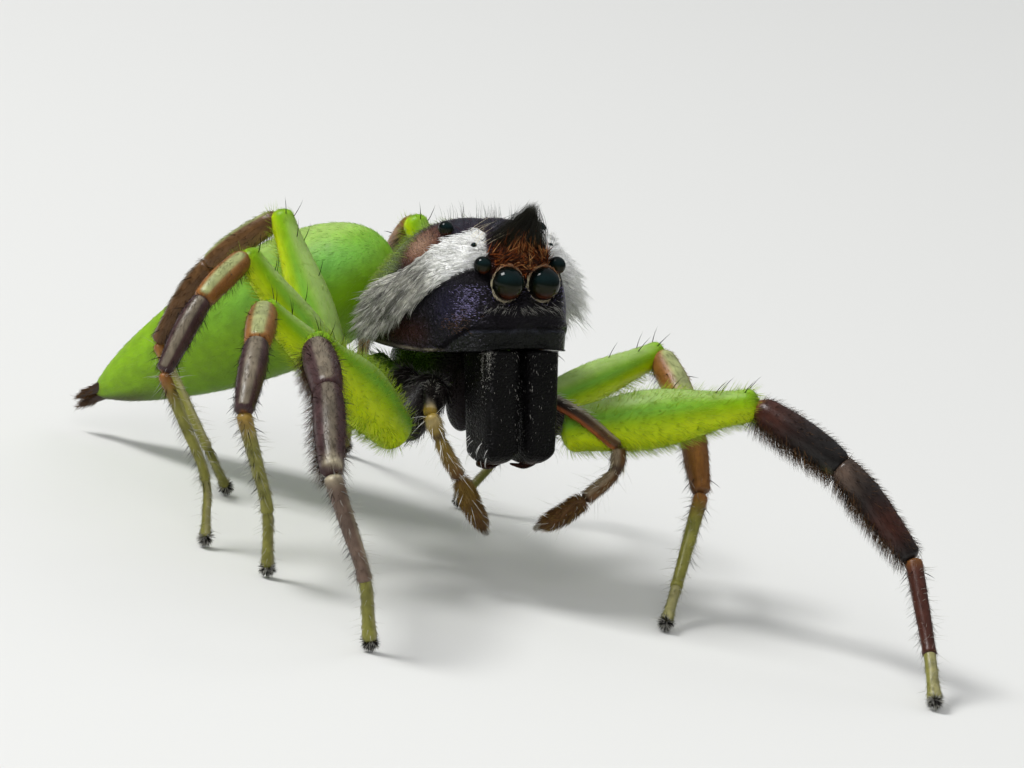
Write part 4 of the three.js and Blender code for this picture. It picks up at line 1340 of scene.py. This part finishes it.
def make_eye_rings(coat):
    """Rings of pale scales round the front eyes, orange where they meet under the brow."""
    at, radius = EYES["eye_front"]
    each = 230
    for side in (-1, 1):
        angle = rng.uniform(0, 2 * np.pi, each)
        out = np.stack([np.cos(angle), np.zeros(each), np.sin(angle)], -1)
        turn = np.stack([-np.sin(angle), np.zeros(each), np.cos(angle)], -1)
        turn *= np.where(np.sin(angle) > -0.3, 1, -1)[:, None] * np.sign(np.cos(angle))[:, None]
        reach = radius * rng.uniform(1.0, 1.1, (each, 1))
        ring = np.array(at) * [side, 1, 1] + out * reach + np.array([0, 0.02, 0])
        way = unit(turn + 0.3 * out + rng.normal(0, 0.15, out.shape) - [0, 0.15, 0]) @ HEAD_TURN.T
        above_eye = ramp(np.sin(angle), 0.0, 0.7)
        tint = blend(varied(CREAM * 0.75, each, 0.3), ORANGE * 0.8, above_eye * rng.uniform(0.3, 1, each))
        place = np.stack([0.5 + 0.1 * side + 0.02 * out[:, 0], 0.04 + 0.02 * out[:, 2]], -1)
        bend = unit(way - 0.35 * (out @ HEAD_TURN.T))
        coat.sweep(from_head(ring), way, bend, rng.uniform(0.08, 0.17, each), 0.0055, tint, place, 2)


def make_face_coat(skin, jaws):
    coat = Coat()
    make_brow(coat, skin)
    make_eye_rings(coat)

    # A row of white scales under the front eyes.
    def under_eyes(h):
        return bell(h[:, 2], -0.5, 0.07) * (np.abs(h[:, 0]) < 0.95) * (h[:, 1] < 0.4)

    def down_and_out(h):
        return np.sign(h[:, :1] + 0.2) * head_way(0.9, 0, 0) + head_way(0, 0, -0.6)

    comb(coat, skin, 140, under_eyes, down_and_out,
         spread=0.2, length=(0.12, 0.24), width=0.0045, lift=(20, 0), tint=GREY_WHITE * 0.55, vary=0.4,
         wave=0.1)

    # The speckled patch below the side eyes, lilac specks of painted glint and then brown scales, down to the
    # band over the jaws.
    def cheek(h):
        down = -h[:, 2]
        middle = 0.3 + 0.2 * ramp(down, 0.6, 1.1)
        here = bell(h[:, 1], middle, 0.22) * (h[:, 1] > -0.05)
        return here * ramp(down, 0.02, 0.2) * (1 - ramp(down, 1.0, 1.25))

    def glints_and_scales(h):
        low = h[:, 2:3] + rng.normal(0, 0.15, (len(h), 1)) < -0.8
        # Lilac specks as painted glints, brown scales lower down.
        return np.where(low, BROWN * 0.8, LILAC_GLINT) * rng.uniform(0.1, 1.1, (len(h), 1)) ** 1.5

    comb(coat, skin, 1900, cheek, lambda h: np.sign(h[:, :1]) * head_way(0.7, 0, 0) + head_way(0, 0.6, 0.1),
         spread=0.3, length=(0.035, 0.07), width=0.0065, lift=(10, 0), tint=glints_and_scales, segments=1)

    # Green down on the rear slope and short dark down on the top.
    def rear_slope(h):
        return ramp(h[:, 2], -1.7, -0.8) * ramp(h[:, 1], 2.1, 3.0)

    def green_down(h):
        return blend(varied(DULL_GREEN * 0.8, len(h)), FRINGE, rng.uniform(0, 0.7, len(h)))

    def head_top(h):
        return ramp(h[:, 2], 0.3, 0.8) * (h[:, 1] > 0.7) * (h[:, 1] < 3) * clear_of_eyes(h)

    comb(coat, skin, 3200, rear_slope, lambda h: head_way(0, 1, -0.2),
         spread=0.25, length=(0.14, 0.3), width=0.005, lift=(45, 25), tint=green_down, wave=0.1)
    comb(coat, skin, 900, head_top, lambda h: head_way(0, 1, 0),
         spread=0.2, length=(0.1, 0.2), width=0.004, lift=(20, 4), tint=PURPLE, vary=0.4)
    for side, jaw in jaws.items():
        make_jaw_coat(coat, jaw, side)
    coat.build("face_coat", MAT_HAIR)


# Where round a jaw its two lines of painted glints run: pale scales set as painted highlights.
GLINT_LINES = {"R": (0.62, 0.53), "L": (0.88, 0.97)}


def make_jaw_coat(coat, jaw, side):
    """Small white scales all over a jaw and by the midline, two lines of pale scales as painted glints near
    its top, and a few bristles.
    """
    outer = head_way(-1.0 if side == "R" else 1.0, 0, 0)
    front = head_way(0, -1, 0)
    wide_line, thin_line = GLINT_LINES[side]

    def facing(way, skin, u, v):
        return skin.read(skin.normal, u, v) @ way

    def midline(skin, u, v):
        ahead = ramp(facing(front, skin, u, v), 0.5, 0.9)
        return (u < 0.7) * ahead * bell(facing(outer, skin, u, v), -0.35, 0.2)

    def painted_glints(skin, u, v):
        return (1 - ramp(u, 0.05, 0.45)) * (bell(v, wide_line, 0.05) + bell(v, thin_line, 0.01))

    def bristles(skin, u, v):
        return bell(u, 0.8, 0.1) * ramp(facing(outer, skin, u, v), 0.5, 0.8)

    coat.cover(jaw, 330, flat_tint(GREY_WHITE * 0.25), 0.05, 0.006, (12, 0), vary=0.9, segments=1)
    coat.cover(jaw, 34, flat_tint(GREY_WHITE * 0.6), 0.07, 0.006, (12, 0), density=midline, vary=0.6,
               segments=1)
    # Pale scales in two lines, as painted highlights.
    coat.cover(jaw, 460, flat_tint(GREY_WHITE * 0.4), 0.045, 0.007, (8, 0), density=painted_glints, vary=0.9,
               segments=1, spread=0.6)
    coat.cover(jaw, 16, flat_tint(WHITE * 0.9), 0.36, 0.0065, (60, 20), density=bristles, segments=3)


# ------------------------------------------------------------------ camera, floor and light
# The camera's turn and rise round its target, its roll, how far off it stands, and its lens.
CAMERA_TURN = -33.5
CAMERA_RISE = 11
CAMERA_ROLL = 12
CAMERA_DISTANCE = 130.0
CAMERA_LENS = 210.2
CAMERA_TARGET = (0.2, 0.0, 4.6)


def make_camera():
    roll = math.radians(CAMERA_ROLL)
    back = heading(CAMERA_TURN, CAMERA_RISE)
    right = unit(np.cross([0, 0, 1], back))
    up = np.cross(back, right)
    across = right * math.cos(roll) + up * math.sin(roll)
    top = -right * math.sin(roll) + up * math.cos(roll)
    place = (np.array(CAMERA_TARGET) + SHIFT + back * CAMERA_DISTANCE) * MM
    data = bpy.data.cameras.new("camera")
    data.lens = CAMERA_LENS
    data.sensor_width = 36.0
    data.clip_start = 0.005
    data.clip_end = 20.0
    camera = bpy.data.objects.new("camera", data)
    pose = np.column_stack([across, top, back, place])
    camera.matrix_world = Matrix([*pose.tolist(), [0, 0, 0, 1]])
    bpy.context.scene.collection.objects.link(camera)
    bpy.context.scene.camera = camera


def make_floor():
    material, tree, shader = new_material("floor_paint")
    feed(tree, shader, {"Base Color": (0.62, 0.62, 0.6, 1), "Roughness": 0.7})
    mesh = bpy.data.meshes.new("floor")
    half = 2.0  # metres
    corners = [(-half, -half, 0), (half, -half, 0), (half, half, 0), (-half, half, 0)]
    mesh.from_pydata(corners, [], [(0, 1, 2, 3)])
    mesh.materials.append(material)
    floor = bpy.data.objects.new("floor", mesh)
    bpy.context.scene.collection.objects.link(floor)


def make_light(name, place, size, power, mirrored_in_gloss=True):
    """A square softbox aimed at the spider. The place is in metres, the power in watts."""
    data = bpy.data.lights.new(name, "AREA")
    data.shape = "SQUARE"
    data.size = size
    data.energy = power
    light = bpy.data.objects.new(name, data)
    light.location = place
    light.rotation_mode = "QUATERNION"
    light.rotation_quaternion = (Vector((0, 0, 0.005)) - Vector(place)).to_track_quat("-Z", "Y")
    light.visible_glossy = mirrored_in_gloss
    bpy.context.scene.collection.objects.link(light)


def make_lights():
    """A softbox high on the right and behind, two weaker ones in front and on the left, and a dim room."""
    world = bpy.data.worlds.new("studio")
    world.use_nodes = True
    tree = world.node_tree
    sky = next(n for n in tree.nodes if n.type == "BACKGROUND")
    place = add_node(tree, "TexCoord", {}, "Generated")
    height = add_node(tree, "SeparateXYZ", {"Vector": place}, "Z")
    level = add_node(tree, "MapRange", {"To Min": 0.1, "To Max": 0.6, "Value": height}, "Result")
    feed(tree, sky, {"Color": (0.94, 0.96, 1.0, 1), "Strength": level})
    bpy.context.scene.world = world
    make_light("key", (-0.17, 0.09, 0.26), 0.1, 1.0)
    make_light("fill", (-0.14, -0.2, 0.16), 0.14, 0.3, mirrored_in_gloss=False)
    make_light("rim", (0.2, 0.12, 0.16), 0.14, 0.14, mirrored_in_gloss=False)


make_camera()
make_floor()
make_lights()
head = carapace_skin()
build_skin("carapace_skin", [head], [paint_head], MAT_HEAD, ["carapace"])
make_eyes()
jaws = make_jaws()
make_underside()
make_palps()
for leg in STANCE:
    make_leg(leg)
make_abdomen()
make_whisker(head, "R")
make_whisker(head, "L")
make_crest(head)
make_face_coat(head, jaws)
bpy.context.scene.view_settings.view_transform = "Standard"

bpy.context.view_layer.update()
